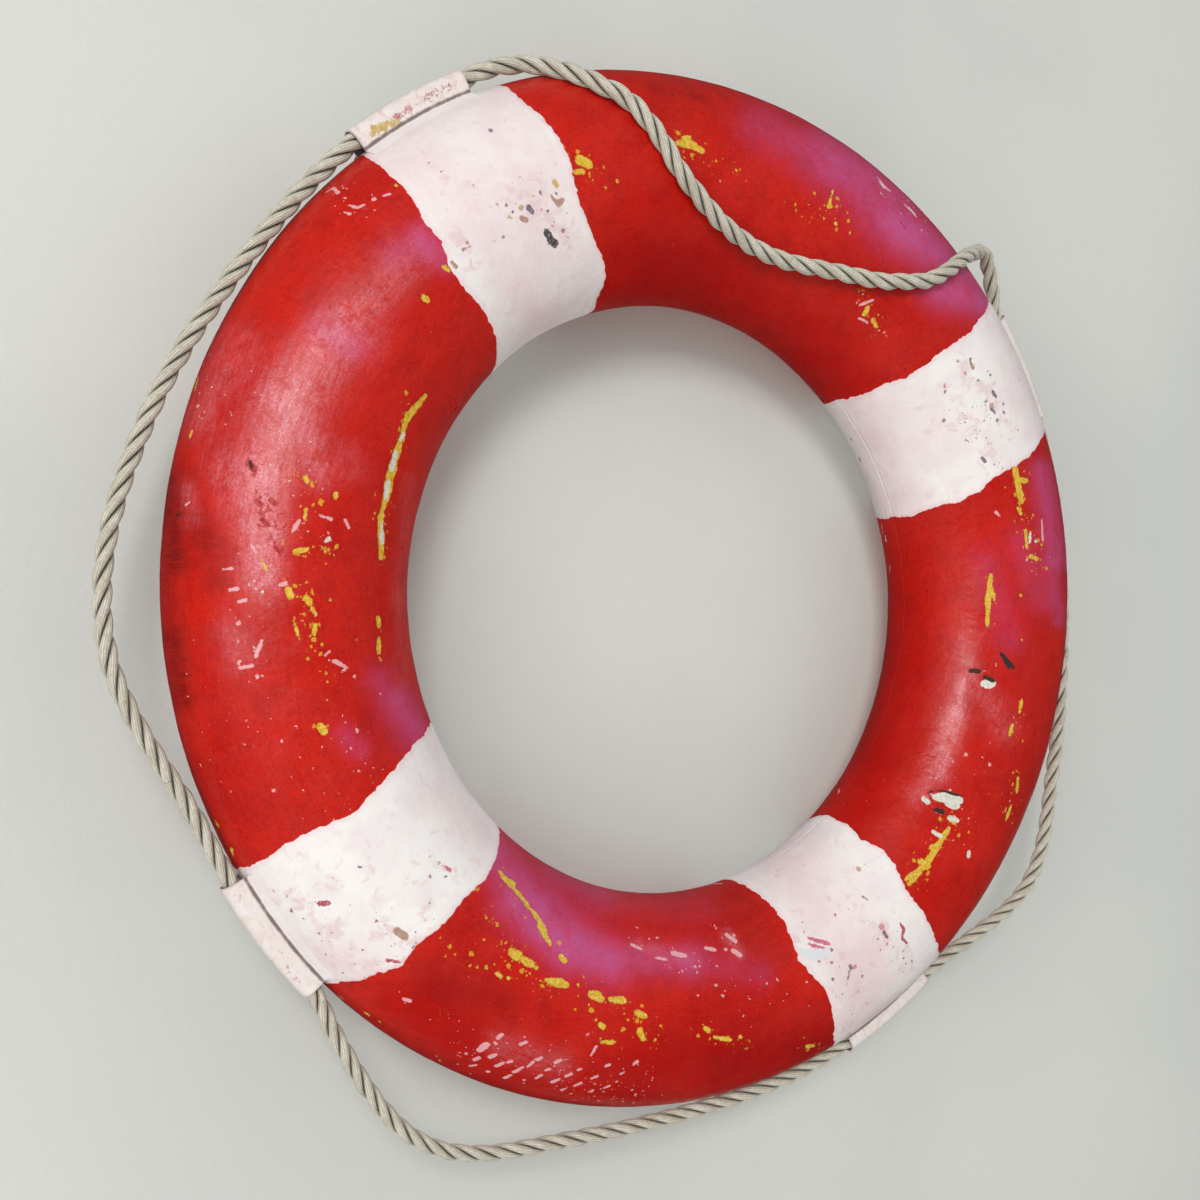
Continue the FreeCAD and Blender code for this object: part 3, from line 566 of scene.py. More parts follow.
# ---------------------------------------------------------------- ring skin
# Raggedness and growth of each kind of mark.
MARK_SPREAD = {"yel": (1.5, 0.35), "wht": (1.2, 0.3), "drk": (1.2, 0.2), "scr": (1.1, 0.45),
               "pit": (0.8, -0.1), "spk": (1.2, 0.1)}
INNER_ROWS = 14


def skin_marks(points, side):
    """Depth into each kind of mark, and the colour index of the specks."""
    ragged = fbm(points, 6.0, 2, 35)
    depths = {}
    for key, (rag, growth) in MARK_SPREAD.items():
        marks = (FRONT_MARKS if side < 0 else BACK_MARKS)[key]
        if side < 0 and key in ("yel", "scr"):
            marks = marks + [mark for mark in BACK_MARKS[key] if mark[0][:, 1].max() < 3]
        depth, kinds = mark_depth(points, marks)
        depths[key] = depth + rag * ragged + growth
    return depths, kinds  # "spk" comes last, so these kinds are the specks'


def skin_relief(points, section, band, depths, side):
    """Height of the skin over the plain tube."""
    jag = 0.9 * vnoise(points, 2.1, 31) + 0.5 * vnoise(points, 1.0, 33)
    # moulding waves, then the thickness of the white paint
    relief = 0.55 * fbm(points, 70.0, 2, 1) + 0.20 * fbm(points, 17.0, 2, 2)
    relief += 0.05 * vnoise(points, 3.6, 3)
    relief += 0.16 * smooth(band, -0.6, 0.9)
    chip = np.maximum.reduce([smooth(depths["yel"] + jag, -0.5, 0.5),
                              smooth(depths["wht"] + jag, -0.5, 0.5) * 1.3,
                              smooth(depths["drk"] + jag, -0.4, 0.6) * 1.6,
                              smooth(depths["pit"] + jag, -0.6, 0.8) * 0.8,
                              smooth(depths["spk"] + jag * 0.6, -0.4, 0.6) * 0.7])
    relief -= 0.24 * chip
    relief -= 0.07 * smooth(depths["scr"] + jag * 0.4, -0.4, 0.4)
    # a shallow seam where the halves meet on the outside
    seam = np.exp(-((points[:, 1] / 0.8) ** 2))
    relief -= 0.07 * seam * smooth(np.cos(section), -0.2, 0.3)
    if side > 0:
        flat = smooth(points[:, 1], LAND_Y - 1.0, LAND_Y - 0.05)
        relief *= 1 - 0.8 * flat
        relief -= 0.05 * flat
        for plug_x, plug_z in PLUG_CENTRES:
            gap = np.hypot(points[:, 0] - plug_x, points[:, 2] - plug_z)
            recess = 1.15 * (1 - smooth(gap, 9.2, 12.5))
            relief = np.where(points[:, 1] > 50, relief - recess, relief)
    return np.minimum(relief, 0.9)


def skin(name, side, ring_count, section_count):
    """One half of the hard skin as a closed shell: side -1 is the front, +1 the back."""
    ends = (-180, 0) if side < 0 else (0, 180)
    ring_angles = np.arange(ring_count) * 2 * math.pi / ring_count
    section, ring = np.meshgrid(np.radians(np.linspace(*ends, section_count)), ring_angles,
                                indexing="ij")
    y = HALF_D * np.sin(section)
    if side > 0:
        y = np.minimum(y, LAND_Y)
    normal_r, normal_y = np.cos(section) / HALF_W, np.sin(section) / HALF_D
    length = np.hypot(normal_r, normal_y)
    normal_r, normal_y = normal_r / length, normal_y / length
    radius = RING_R + HALF_W * np.cos(section)
    points = np.stack([radius * np.cos(ring), y, radius * np.sin(ring)], -1).reshape(-1, 3)
    normals = np.stack([normal_r * np.cos(ring), normal_y, normal_r * np.sin(ring)], -1)
    normals = normals.reshape(-1, 3)
    section_deg, ring_deg = np.degrees(section).ravel(), np.degrees(ring).ravel()

    band = band_depth(ring_deg, section_deg, radius.ravel())
    # the brushed edge of the bands wanders
    band += 1.5 * fbm(points, 14.0, 3, 5) + 1.1 * vnoise(points, 4.6, 8)
    band += 0.6 * vnoise(points, 2.3, 9)
    view_x, view_y = project(points)
    sight = EYE - points
    sight /= np.linalg.norm(sight, axis=1)[:, None]
    facing = smooth((sight * normals).sum(1), -0.22, 0.02)
    depths, kinds = skin_marks(points, side)
    relief = skin_relief(points, section.ravel(), band, depths, side)
    outer = (points + normals * relief[:, None]).reshape(section_count, ring_count, 3)

    section_in, ring_in = np.meshgrid(np.radians(np.linspace(*ends[::-1], INNER_ROWS)),
                                      ring_angles, indexing="ij")
    radius_in = RING_R + (HALF_W - SKIN_WALL) * np.cos(section_in)
    inner = np.stack([radius_in * np.cos(ring_in), (HALF_D - SKIN_WALL) * np.sin(section_in),
                      radius_in * np.sin(ring_in)], -1)
    for wall in (outer, inner):
        wall[0, :, 1] = wall[-1, :, 1] = PARTING_Y * side
    rows = section_count + INNER_ROWS
    ob = build_mesh(name, np.concatenate([outer, inner]).reshape(-1, 3),
                    grid_quads(rows, ring_count, wrap_rows=True))

    def put_outer(key, values, inside=0.0):
        put(ob, key, np.concatenate([values, np.full(INNER_ROWS * ring_count, inside)]))

    put_outer("band", band, inside=-50.0)
    for key, depth in depths.items():
        put_outer(key, depth, inside=-9.0)
    put_outer("kind", kinds)
    for key in SOFT:
        put_outer(key, soft_wear_and_painted_light(key, view_x, view_y, facing, ring_deg, section_deg))
    put_outer("secth", np.radians(ring_deg))
    put_outer("secph", np.radians(section_deg))
    return ob


FRONT_COUNTS, BACK_COUNTS = (1800, 230), (1200, 110)  # round the ring, across the section
front = skin("ring_skin_front", -1, *FRONT_COUNTS)
back = skin("ring_skin_back", 1, *BACK_COUNTS)


# ---------------------------------------------------------------- shader building
class Tree:
    """A material under construction. Texture sizes are in millimetres."""

    def __init__(self, name):
        self.mat = bpy.data.materials.new(name)
        self.mat.use_nodes = True
        self.nodes, self.links = self.mat.node_tree.nodes, self.mat.node_tree.links
        self.nodes.clear()
        self.x = 0
        self.out = self.node("OutputMaterial")
        self.bsdf = self.node("BsdfPrincipled")
        self.link(self.bsdf.outputs[0], self.out.inputs[0])
        coords = self.node("TexCoord")
        self.pos = self.vmath("MULTIPLY", coords.outputs["Object"], (1000, 1000, 1000))

    def node(self, kind):
        n = self.nodes.new("ShaderNode" + kind)
        self.x += 40
        n.location = (self.x, 0)
        return n

    def link(self, value, socket):
        if isinstance(value, bpy.types.NodeSocket):
            self.links.new(value, socket)
        else:
            socket.default_value = value

    def math(self, operation, *values, clamp=False):
        n = self.node("Math")
        n.operation = operation
        n.use_clamp = clamp
        for value, socket in zip(values, n.inputs):
            self.link(value, socket)
        return n.outputs[0]

    def times(self, a, b):
        return self.math("MULTIPLY", a, b)

    def plus(self, a, b):
        return self.math("ADD", a, b)

    def minus(self, a, b):
        return self.math("SUBTRACT", a, b)

    def most(self, a, b):
        return self.math("MAXIMUM", a, b)

    def scaled(self, value, by, plus, clamp=False):
        return self.math("MULTIPLY_ADD", value, by, plus, clamp=clamp)

    def vmath(self, operation, a, b):
        n = self.node("VectorMath")
        n.operation = operation
        self.link(a, n.inputs[0])
        self.link(b, n.inputs[1])
        return n.outputs[0]

    def attr(self, name):
        n = self.node("Attribute")
        n.attribute_name = name
        return n.outputs["Fac"]

    def stretched(self, **gains):
        """A texture vector from attributes, each with its gain."""
        n = self.node("CombineXYZ")
        for socket, (name, gain) in zip(n.inputs, gains.items()):
            self.link(self.times(self.attr(name), gain), socket)
        return n.outputs[0]

    def noise(self, size, detail=3.0, rough=0.55, vec=None, shift=None, distort=0.0,
              output="Fac"):
        vec = self.pos if vec is None else vec
        if shift:
            vec = self.vmath("ADD", vec, shift)
        n = self.node("TexNoise")
        n.inputs["Scale"].default_value = 1.0 / size
        n.inputs["Detail"].default_value = detail
        n.inputs["Roughness"].default_value = rough
        n.inputs["Distortion"].default_value = distort
        self.link(vec, n.inputs["Vector"])
        return n.outputs[output]

    def ramp(self, value, over, to=(0.0, 1.0)):
        n = self.node("MapRange")
        n.interpolation_type = "SMOOTHSTEP"
        n.clamp = True
        for v, socket in zip((value, *over, *to), n.inputs):
            self.link(v, socket)
        return n.outputs[0]

    def mix(self, factor, a, b):
        n = self.node("Mix")
        n.data_type = "RGBA"
        n.blend_type = "MIX"
        n.clamp_factor = True
        self.link(factor, n.inputs[0])
        for socket, v in ((n.inputs[6], a), (n.inputs[7], b)):
            self.link((*v, 1.0) if isinstance(v, tuple) else v, socket)
        return n.outputs[2]

    def stain(self, base, colour, by, over, most=1.0):
        """Lay a colour where a value rises through a range."""
        return self.mix(self.ramp(by, over, to=(0, most)), base, colour)

    def lay(self, base, colour, mask, strength):
        return self.mix(self.times(mask, strength), base, colour)

    def bump(self, height, dist, strength=1.0):
        """Bump normal. The distance is in metres."""
        n = self.node("Bump")
        n.inputs["Distance"].default_value = dist
        n.inputs["Strength"].default_value = strength
        self.link(height, n.inputs["Height"])
        return n.outputs[0]

    def finish(self, colour, rough, normal, **more):
        self.link(colour, self.bsdf.inputs["Base Color"])
        self.link(rough, self.bsdf.inputs["Roughness"])
        self.link(normal, self.bsdf.inputs["Normal"])
        for name, value in more.items():
            self.link(value, self.bsdf.inputs[name.replace("_", " ")])
        return self.mat


def srgb(*channels):
    """Linear colour from 0-255 sRGB channels."""
    parts = [c / 255 for c in channels]
    return tuple(p / 12.92 if p <= 0.04045 else ((p + 0.055) / 1.055) ** 2.4 for p in parts)


# ---------------------------------------------------------------- ring paint
# From index 0: black, grey violet, tan, ochre, crimson, pink, blue white.
SPECK_COLOURS = [srgb(28, 25, 32), srgb(112, 90, 112), srgb(176, 132, 112), srgb(206, 172, 70),
                 srgb(176, 26, 60), srgb(206, 84, 128), srgb(226, 230, 236)]


def red_coat(t, fine, streak):
    """Mottled, faded and dirty red, with painted shade and painted highlights. Returns the colour
    and the mask of pale fade and painted highlight.
    """
    big = t.noise(size=85, detail=4)
    mid = t.noise(size=17, detail=5, rough=0.6, distort=0.4)
    red = t.mix(t.ramp(big, over=(0.36, 0.62)), srgb(196, 18, 5), srgb(212, 27, 7))
    red = t.stain(red, srgb(174, 10, 6), by=mid, over=(0.42, 0.72), most=0.6)
    # lit is everything outside the painted shade; the lighter streaks, marbling and mottle go only
    # there
    lit = t.minus(1.0, t.attr("painted_shade"))
    red = t.lay(red, srgb(218, 38, 14), lit, t.ramp(streak, over=(0.45, 0.75), to=(0, 0.28)))
    red = t.stain(red, srgb(150, 8, 6), by=fine, over=(0.35, 0.75), most=0.22)
    # marbling that runs round the ring
    hoops = t.stretched(secth=42.0, secph=72.0)
    hoop = t.noise(size=3.0, detail=5, rough=0.65, vec=hoops, distort=0.3)
    hoop2 = t.noise(size=1.5, detail=4, rough=0.6, vec=hoops, shift=(13.0, 41.0, 5.0))
    red = t.lay(red, srgb(202, 38, 20), lit, t.ramp(hoop, over=(0.48, 0.70), to=(0, 0.45)))
    red = t.stain(red, srgb(150, 6, 8), by=hoop2, over=(0.50, 0.72), most=0.30)
    # fine orange and pink mottle, kept off the painted shade
    orange = t.noise(size=1.25, detail=4, rough=0.65, shift=(8.0, 3.0, 61.0))
    red = t.lay(red, srgb(220, 50, 12), lit, t.ramp(orange, over=(0.50, 0.70), to=(0, 0.42)))
    pink = t.noise(size=1.6, detail=4, rough=0.65, shift=(71.0, 33.0, 6.0))
    red = t.lay(red, srgb(200, 50, 66), lit, t.ramp(pink, over=(0.52, 0.72), to=(0, 0.40)))
    # painted shade: darker, purer red where shade falls on the inner top and underside
    red = t.lay(red, srgb(174, 2, 1), t.attr("painted_shade"), 0.55)
    dark = t.noise(size=2.0, detail=4, rough=0.6, shift=(17.0, 83.0, 26.0))
    red = t.stain(red, srgb(132, 6, 8), by=dark, over=(0.52, 0.72), most=0.42)
    # faded patches, pale and magenta; the pale patches also carry painted highlights on the left
    # and right
    micro = t.noise(size=1.4, detail=4, rough=0.7, shift=(44.0, 2.0, 19.0))
    blotch = t.noise(size=11, detail=6, rough=0.7, distort=0.8)
    patch = t.times(t.ramp(blotch, over=(0.32, 0.58), to=(0.35, 1.15)),
                    t.ramp(hoop, over=(0.34, 0.60), to=(0.55, 1.15)))
    pale = t.times(t.times(t.attr("pale"), patch),
                   t.ramp(micro, over=(0.34, 0.62), to=(0.6, 1.1)))
    pale_colour = t.mix(t.ramp(micro, over=(0.44, 0.60)), srgb(232, 132, 130),
                        srgb(230, 152, 172))
    red = t.lay(red, pale_colour, pale, 0.85)
    blotch = t.noise(size=16, detail=5, rough=0.65, distort=0.6)
    magenta = t.times(t.attr("magenta"), t.ramp(blotch, over=(0.25, 0.60), to=(0.6, 1.05)))
    magenta = t.times(magenta, t.ramp(micro, over=(0.30, 0.62), to=(0.72, 1.05)))
    magenta_colour = t.mix(t.ramp(hoop2, over=(0.42, 0.62)), srgb(208, 86, 142),
                           srgb(198, 96, 158))
    red = t.lay(red, magenta_colour, magenta, 0.94)
    # soot streaks, with painted shade inside the hole and underneath
    red = t.lay(red, srgb(104, 12, 12), t.attr("dirt_and_shade"),
                t.ramp(streak, over=(0.33, 0.66), to=(0.45, 0.95)))
    # scattered flecks of undercoat and of grime
    fleck = t.ramp(t.noise(size=1.9, detail=2, rough=0.5), over=(0.735, 0.765))
    fleck = t.times(fleck, t.ramp(t.noise(size=46, rough=0.6), over=(0.5, 0.62)))
    red = t.lay(red, srgb(226, 150, 140), fleck, 0.8)
    darkening = t.ramp(t.noise(size=2.6, rough=0.6, shift=(31.0, 7.0, 13.0)), over=(0.70, 0.76))
    where = t.ramp(t.noise(size=60, detail=2, rough=0.5), over=(0.48, 0.64), to=(0, 0.7))
    return t.lay(red, srgb(110, 8, 22), darkening, where), pale


def dots(t, key, size, over, shift):
    """Blotches that grow where the attribute is strong."""
    n = t.noise(size, detail=2, shift=shift, distort=0.6)
    return t.ramp(t.scaled(t.attr(key), by=0.30, plus=n), over)


def flecks(t, wobble, key, size, shift, grow, gain=1.0):
    """Separate flecks of many sizes, as many of them as the attribute asks for."""
    cells = t.node("TexVoronoi")
    cells.inputs["Scale"].default_value = 1.0 / size
    t.link(t.vmath("ADD", t.vmath("ADD", t.pos, shift), wobble), cells.inputs["Vector"])
    draw = t.node("SeparateColor")
    t.link(cells.outputs["Color"], draw.inputs[0])
    keep = t.ramp(t.minus(t.times(t.attr(key), gain), draw.outputs[1]), over=(0.0, 0.03))
    radius = t.scaled(t.math("POWER", draw.outputs[0], 2.0), by=grow, plus=0.07)
    gap = t.minus(cells.outputs["Distance"], radius)
    return t.times(keep, t.ramp(gap, over=(-0.03, 0.03), to=(1.0, 0.0)))


def white_coat(t, streak, wobble):
    """The white of the bands, with blush, specks and dark flecks."""
    cloud = t.noise(size=26, detail=4, rough=0.6)
    white = t.mix(t.ramp(cloud, over=(0.38, 0.66)), srgb(249, 244, 242), srgb(244, 235, 235))
    white = t.lay(white, srgb(238, 206, 208), t.attr("blush"),
                  t.ramp(cloud, over=(0.3, 0.6), to=(0.7, 1.0)))
    white = t.stain(white, srgb(244, 240, 241), by=streak, over=(0.5, 0.78), most=0.35)
    white = t.stain(white, srgb(232, 208, 212), by=t.noise(size=7, detail=4, rough=0.65),
                    over=(0.52, 0.8), most=0.35)
    speck = t.ramp(t.noise(size=1.5, detail=2, rough=0.5, shift=(5.0, 91.0, 3.0)),
                   over=(0.74, 0.775))
    speck = t.times(speck, t.ramp(t.noise(size=22, rough=0.6), over=(0.50, 0.66)))
    white = t.lay(white, srgb(170, 120, 140), speck, 0.6)
    dark = t.most(
        flecks(t, wobble, "kdots", size=6.0, shift=(13.0, 27.0, 61.0), grow=0.22, gain=0.9),
        flecks(t, wobble, "kdots", size=3.2, shift=(83.0, 17.0, 31.0), grow=0.24, gain=0.55))
    warm = flecks(t, wobble, "kdots", size=8.5, shift=(73.0, 5.0, 21.0), grow=0.26, gain=0.6)
    blot = dots(t, "kdots", size=8.0, over=(0.60, 0.82), shift=(33.0, 45.0, 2.0))
    white = t.lay(white, srgb(230, 196, 196), blot, 0.55)
    dark_colour = t.mix(t.ramp(t.noise(size=9, detail=2, rough=0.5), over=(0.45, 0.55)),
                        srgb(168, 104, 126), srgb(110, 88, 112))
    white = t.lay(white, dark_colour, dark, 0.85)
    warm_colour = t.mix(t.ramp(t.noise(size=7, detail=2, rough=0.5), over=(0.45, 0.55)),
                        srgb(190, 150, 110), srgb(214, 120, 148))
    return t.lay(white, warm_colour, warm, 0.8)


def paint_material():
    t = Tree("ring_paint")
    # ragged edges shared by every mark
    jag = t.scaled(t.noise(size=1.6, detail=4, rough=0.65), by=3.0, plus=-1.5)
    jag2 = t.scaled(t.noise(size=0.7, rough=0.6), by=1.6, plus=-0.8)
    rag = t.plus(jag, jag2)
    fine = t.noise(size=2.4, detail=5, rough=0.7)
    # streaks run round the section, as a brush leaves them
    streak = t.noise(size=2.2, detail=4, rough=0.6, vec=t.stretched(secth=330.0, secph=9.0))
    red, pale = red_coat(t, fine, streak)

    # clusters of tiny chips in the red
    wobble = t.vmath("MULTIPLY", t.noise(size=1 / 0.45, rough=0.5, output="Color"),
                     (3.4, 3.4, 3.4))
    yellow_dots = t.most(
        flecks(t, wobble, "ydots", size=5.2, shift=(3.0, 17.0, 41.0), grow=0.34),
        flecks(t, wobble, "ydots", size=2.6, shift=(13.0, 7.0, 91.0), grow=0.34, gain=0.8))
    white_dots = t.most(
        flecks(t, wobble, "wdots", size=5.0, shift=(23.0, 57.0, 11.0), grow=0.26),
        flecks(t, wobble, "wdots", size=2.6, shift=(43.0, 37.0, 1.0), grow=0.26, gain=0.7))
    pits = dots(t, "pits", size=3.6, over=(0.790, 0.825), shift=(63.0, 7.0, 31.0))
    red = t.lay(red, srgb(168, 14, 18), pits, 0.6)
    red = t.lay(red, srgb(232, 176, 176), white_dots, 0.85)
    red = t.lay(red, srgb(216, 160, 34), yellow_dots, 0.9)

    # white bands, brushed on over the red and pinker near their edges
    white = white_coat(t, streak, wobble)
    edge = t.scaled(jag, by=0.45, plus=t.attr("band"))
    edge = t.scaled(jag2, by=0.35, plus=edge)
    on_white = t.ramp(edge, over=(-0.22, 0.22))
    white = t.mix(t.ramp(edge, over=(0.0, 5.0), to=(0.30, 0.0)), white, srgb(238, 178, 184))
    colour = t.mix(on_white, red, white)

    def ragged(key, by):
        return t.scaled(rag, by=by, plus=t.attr(key))

    # specks on the white, coloured by their kind
    speck = t.ramp(ragged("spk", by=0.95), over=(-0.1, 0.5))
    kind = t.attr("kind")
    speck_colour = SPECK_COLOURS[0]
    for step, following in enumerate(SPECK_COLOURS[1:]):
        speck_colour = t.stain(speck_colour, following, by=kind, over=(step + 0.4, step + 0.6))
    broken = t.noise(size=1.5, rough=0.65, shift=(9.0, 2.0, 71.0))
    speck = t.times(speck, t.ramp(broken, over=(0.36, 0.50), to=(0.7, 1.0)))
    colour = t.lay(colour, speck_colour, speck, 0.92)

    # scratches and pits
    scratch = t.ramp(ragged("scr", by=0.6), over=(-0.15, 0.55))
    on_red = t.minus(1.0, on_white)
    scratch = t.times(scratch, on_red)
    colour = t.lay(colour, srgb(238, 178, 184), scratch, 0.86)
    colour = t.lay(colour, srgb(170, 14, 16),
                   t.ramp(ragged("pit", by=0.8), over=(-0.2, 0.6)), 0.85)

    # chips to the yellow undercoat, with a darker rim
    yellow_edge = ragged("yel", by=0.95)
    yellow_chip = t.times(t.ramp(yellow_edge, over=(-0.25, 0.75)), on_red)
    broken = t.noise(size=1.5, rough=0.65, shift=(12.0, 72.0, 39.0))
    yellow_chip = t.times(yellow_chip, t.ramp(broken, over=(0.34, 0.47), to=(0.5, 1.0)))
    colour = t.lay(colour, srgb(150, 20, 14),
                   t.ramp(yellow_edge, over=(-1.8, 0.2), to=(0, 0.22)), on_red)
    yellow = t.mix(t.ramp(t.noise(size=3.1, detail=4, rough=0.6), over=(0.35, 0.62)),
                   srgb(214, 168, 22), srgb(230, 196, 66))
    yellow = t.stain(yellow, srgb(232, 222, 176), over=(0.55, 0.72), most=0.8,
                     by=t.noise(size=1.7, rough=0.6, shift=(2.0, 52.0, 9.0)))
    colour = t.mix(yellow_chip, colour, yellow)

    # chips to the white filler and to the dark laminate
    white_chip = t.times(t.ramp(ragged("wht", by=0.8), over=(-0.05, 0.5)), on_red)
    filler = t.mix(t.ramp(t.noise(size=2.0, rough=0.6), over=(0.4, 0.7)),
                   srgb(228, 226, 214), srgb(196, 192, 178))
    colour = t.mix(white_chip, colour, filler)
    dark_chip = t.ramp(ragged("drk", by=0.7), over=(-0.05, 0.5))
    colour = t.mix(dark_chip, colour, srgb(58, 44, 40))

    # roughness: the pale places (faded paint and painted highlight), white and chipped places are
    # duller
    rough = t.ramp(t.noise(size=30, detail=4, rough=0.6), over=(0.3, 0.7), to=(0.27, 0.42))
    rough = t.plus(rough, t.ramp(fine, over=(0.3, 0.7), to=(-0.03, 0.05)))
    rough = t.scaled(pale, by=0.05, plus=rough)
    rough = t.scaled(on_white, by=0.14, plus=rough)
    chips = t.most(t.most(yellow_chip, white_chip), t.most(dark_chip, t.times(scratch, 0.6)))
    chips = t.most(chips, t.most(t.times(yellow_dots, on_red),
                                 t.times(t.most(white_dots, pits), t.times(on_red, 0.7))))
    rough = t.scaled(chips, by=0.32, plus=rough, clamp=True)

    # relief: grain, waves, brush streaks, the bands' step and the chips
    height = t.scaled(t.noise(size=5.5, detail=4, rough=0.6), by=0.75,
                      plus=t.times(t.noise(size=1.3, detail=4, rough=0.65), 0.18))
    height = t.scaled(t.noise(size=15, rough=0.6, distort=0.5), by=2.2, plus=height)
    height = t.scaled(streak, by=0.20, plus=height)
    height = t.scaled(t.ramp(edge, over=(-0.5, 0.7)), by=0.55, plus=height)
    height = t.scaled(chips, by=-0.2, plus=height)
    normal = t.bump(height, dist=0.00028)
    # greyer to diffuse light, so the red spills less onto its surroundings
    path_kind = t.node("LightPath")
    colour = t.lay(colour, srgb(112, 104, 102), path_kind.outputs["Is Diffuse Ray"], 0.5)
    return t.finish(colour, rough, normal,
                    Specular_IOR_Level=t.scaled(t.attr("painted_shade"), by=-0.20, plus=0.42))


paint = paint_material()
for ob in (front, back):
    ob.data.materials.append(paint)
    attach(ob, "ring")
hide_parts("front_shell")
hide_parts("back_shell")


# ---------------------------------------------------------------- rope line
def in_guide(*angles):
    """Stations on the guides' centre line."""
    return [(angle, ROPE_R, ROPE_Y) for angle in angles]


def hanging(*stations):
    """Stations of ring angle and radius, level with the guides."""
    return [(angle, radius, ROPE_Y) for angle, radius in stations]


# Stations of the rope's line: ring angle, radius, y.
ROPE = [
    *in_guide(31.6, 34.0, 36.4),
    # the top loop comes forward and inward over the ring
    (38.4, 388.25, -10.1), (40.3, 391.6, -12.4), (42.0, 395.4, -15.5), (43.3, 397.0, -18.0),
    (44.4, 398.0, -21.0), (45.7, 396.8, -25.2), (47.1, 389.8, -32.5), (48.4, 375.5, -43.0),
    (50.4, 350.0, -59.0), (51.4, 334.5, -65.5), (52.7, 314.8, -70.3), (54.4, 298.5, -71.4),
    (57.1, 285.6, -70.4), (60.6, 273.4, -67.8), (65.8, 263.1, -64.5), (71.2, 255.8, -61.2),
    (74.7, 252.3, -59.3), (80.0, 250.0, -58.0), (85.0, 252.2, -59.3), (89.7, 258.6, -62.6),
    (93.6, 268.2, -66.3), (96.6, 280.0, -69.3), (98.9, 292.5, -71.1), (100.5, 307.6, -71.2),
    (101.8, 322.4, -68.9), (102.9, 334.2, -65.6), (104.1, 344.7, -61.2), (105.1, 349.8, -58.9),
    (106.4, 357.9, -53.2), (107.6, 365.6, -46.6), (108.6, 372.9, -38.2), (109.5, 379.6, -28.6),
    (110.6, 384.2, -22.5), (112.1, 387.4, -18.3), (113.9, 389.4, -15.0), (115.7, 389.9, -12.2),
    (117.4, 388.6, -10.4),
    *in_guide(119.5, 122.0, 124.4, 127.0, 129.3),
    *hanging(
        (131.6, 388.0), (135.4, 387.3), (139.3, 387.1), (143.6, 387.2), (148.4, 388.6),
        (151.9, 390.7), (155.0, 393.2), (157.9, 395.8), (160.9, 398.9), (163.9, 402.0),
        (167.2, 405.3), (170.2, 408.8), (172.8, 411.7), (175.4, 414.2), (177.8, 415.9),
        (180.1, 416.9), (182.5, 417.1), (185.2, 416.0), (187.3, 413.9), (189.2, 410.6),
        (191.5, 406.2), (193.8, 401.6), (196.2, 397.0), (198.3, 393.4), (200.8, 390.4),
        (203.6, 388.8), (206.2, 388.1)),
    *in_guide(208.4, 210.7, 213.0, 215.3, 217.6, 219.8),
    *hanging(
        (221.5, 388.15), (222.7, 389.6), (223.8, 392.2), (225.2, 396.1), (227.3, 401.4),
        (230.0, 408.9), (232.7, 416.3), (235.3, 423.1), (238.0, 428.7), (240.7, 431.6),
        (243.5, 431.0), (246.0, 427.4), (248.4, 422.5), (250.9, 416.4), (254.0, 409.1),
        (257.6, 402.5), (261.4, 397.1), (265.4, 392.6), (269.5, 389.4), (273.9, 387.6),
        (278.3, 387.1), (282.2, 387.2), (285.7, 387.5), (289.3, 387.9), (293.2, 388.0)),
    *in_guide(296.0, 298.4, 300.8, 303.2, 305.8),
    *hanging(
        (307.6, 388.5), (309.5, 390.6), (311.7, 394.3), (314.6, 400.6), (317.6, 408.6),
        (320.5, 417.2), (323.3, 424.6), (326.2, 428.8), (329.1, 428.2), (331.9, 424.0),
        (334.5, 418.3), (337.2, 412.6), (340.0, 407.9), (342.9, 404.2), (345.6, 401.0),
        (349.8, 396.0), (354.9, 391.9), (360.5, 389.0), (366.0, 387.4), (372.0, 387.1),
        (378.0, 387.5), (382.6, 387.9)),
    *in_guide(385.0, 387.2, 389.4, 391.6),
]


def spline(points, step):
    """Natural cubic spline through the points, at an even step. Also returns the true step."""
    points = np.asarray(points, float)
    gaps = np.linalg.norm(np.diff(points, axis=0), axis=1)
    knots = np.r_[0, np.cumsum(gaps)]
    n = len(points)
    system = np.zeros((n, n))
    target = np.zeros((n, 3))
    system[0, 0] = system[-1, -1] = 1
    for i in range(1, n - 1):
        before, after = gaps[i - 1], gaps[i]
        system[i, i - 1:i + 2] = before, 2 * (before + after), after
        target[i] = 6 * ((points[i + 1] - points[i]) / after
                         - (points[i] - points[i - 1]) / before)
    bend = np.linalg.solve(system, target)
    s = np.linspace(0, knots[-1], 12000)
    k = np.clip(np.searchsorted(knots, s) - 1, 0, n - 2)
    a = ((knots[k + 1] - s) / gaps[k])[:, None]
    b = 1 - a
    curve = ((a ** 3 - a) * bend[k] + (b ** 3 - b) * bend[k + 1]) * (gaps[k] ** 2)[:, None] / 6
    dense = a * points[k] + b * points[k + 1] + curve
    lengths = np.r_[0, np.cumsum(np.linalg.norm(np.diff(dense, axis=0), axis=1))]
    count = int(lengths[-1] / step)
    even = np.linspace(0, lengths[-1], count)
    return (np.stack([np.interp(even, lengths, dense[:, axis]) for axis in range(3)], 1),
            lengths[-1] / (count - 1))


path, STEP = spline([(radius * math.cos(math.radians(angle)), y,
                      radius * math.sin(math.radians(angle))) for angle, radius, y in ROPE],
                    step=1.0)
along = np.gradient(path, axis=0)
along /= np.linalg.norm(along, axis=1)[:, None]
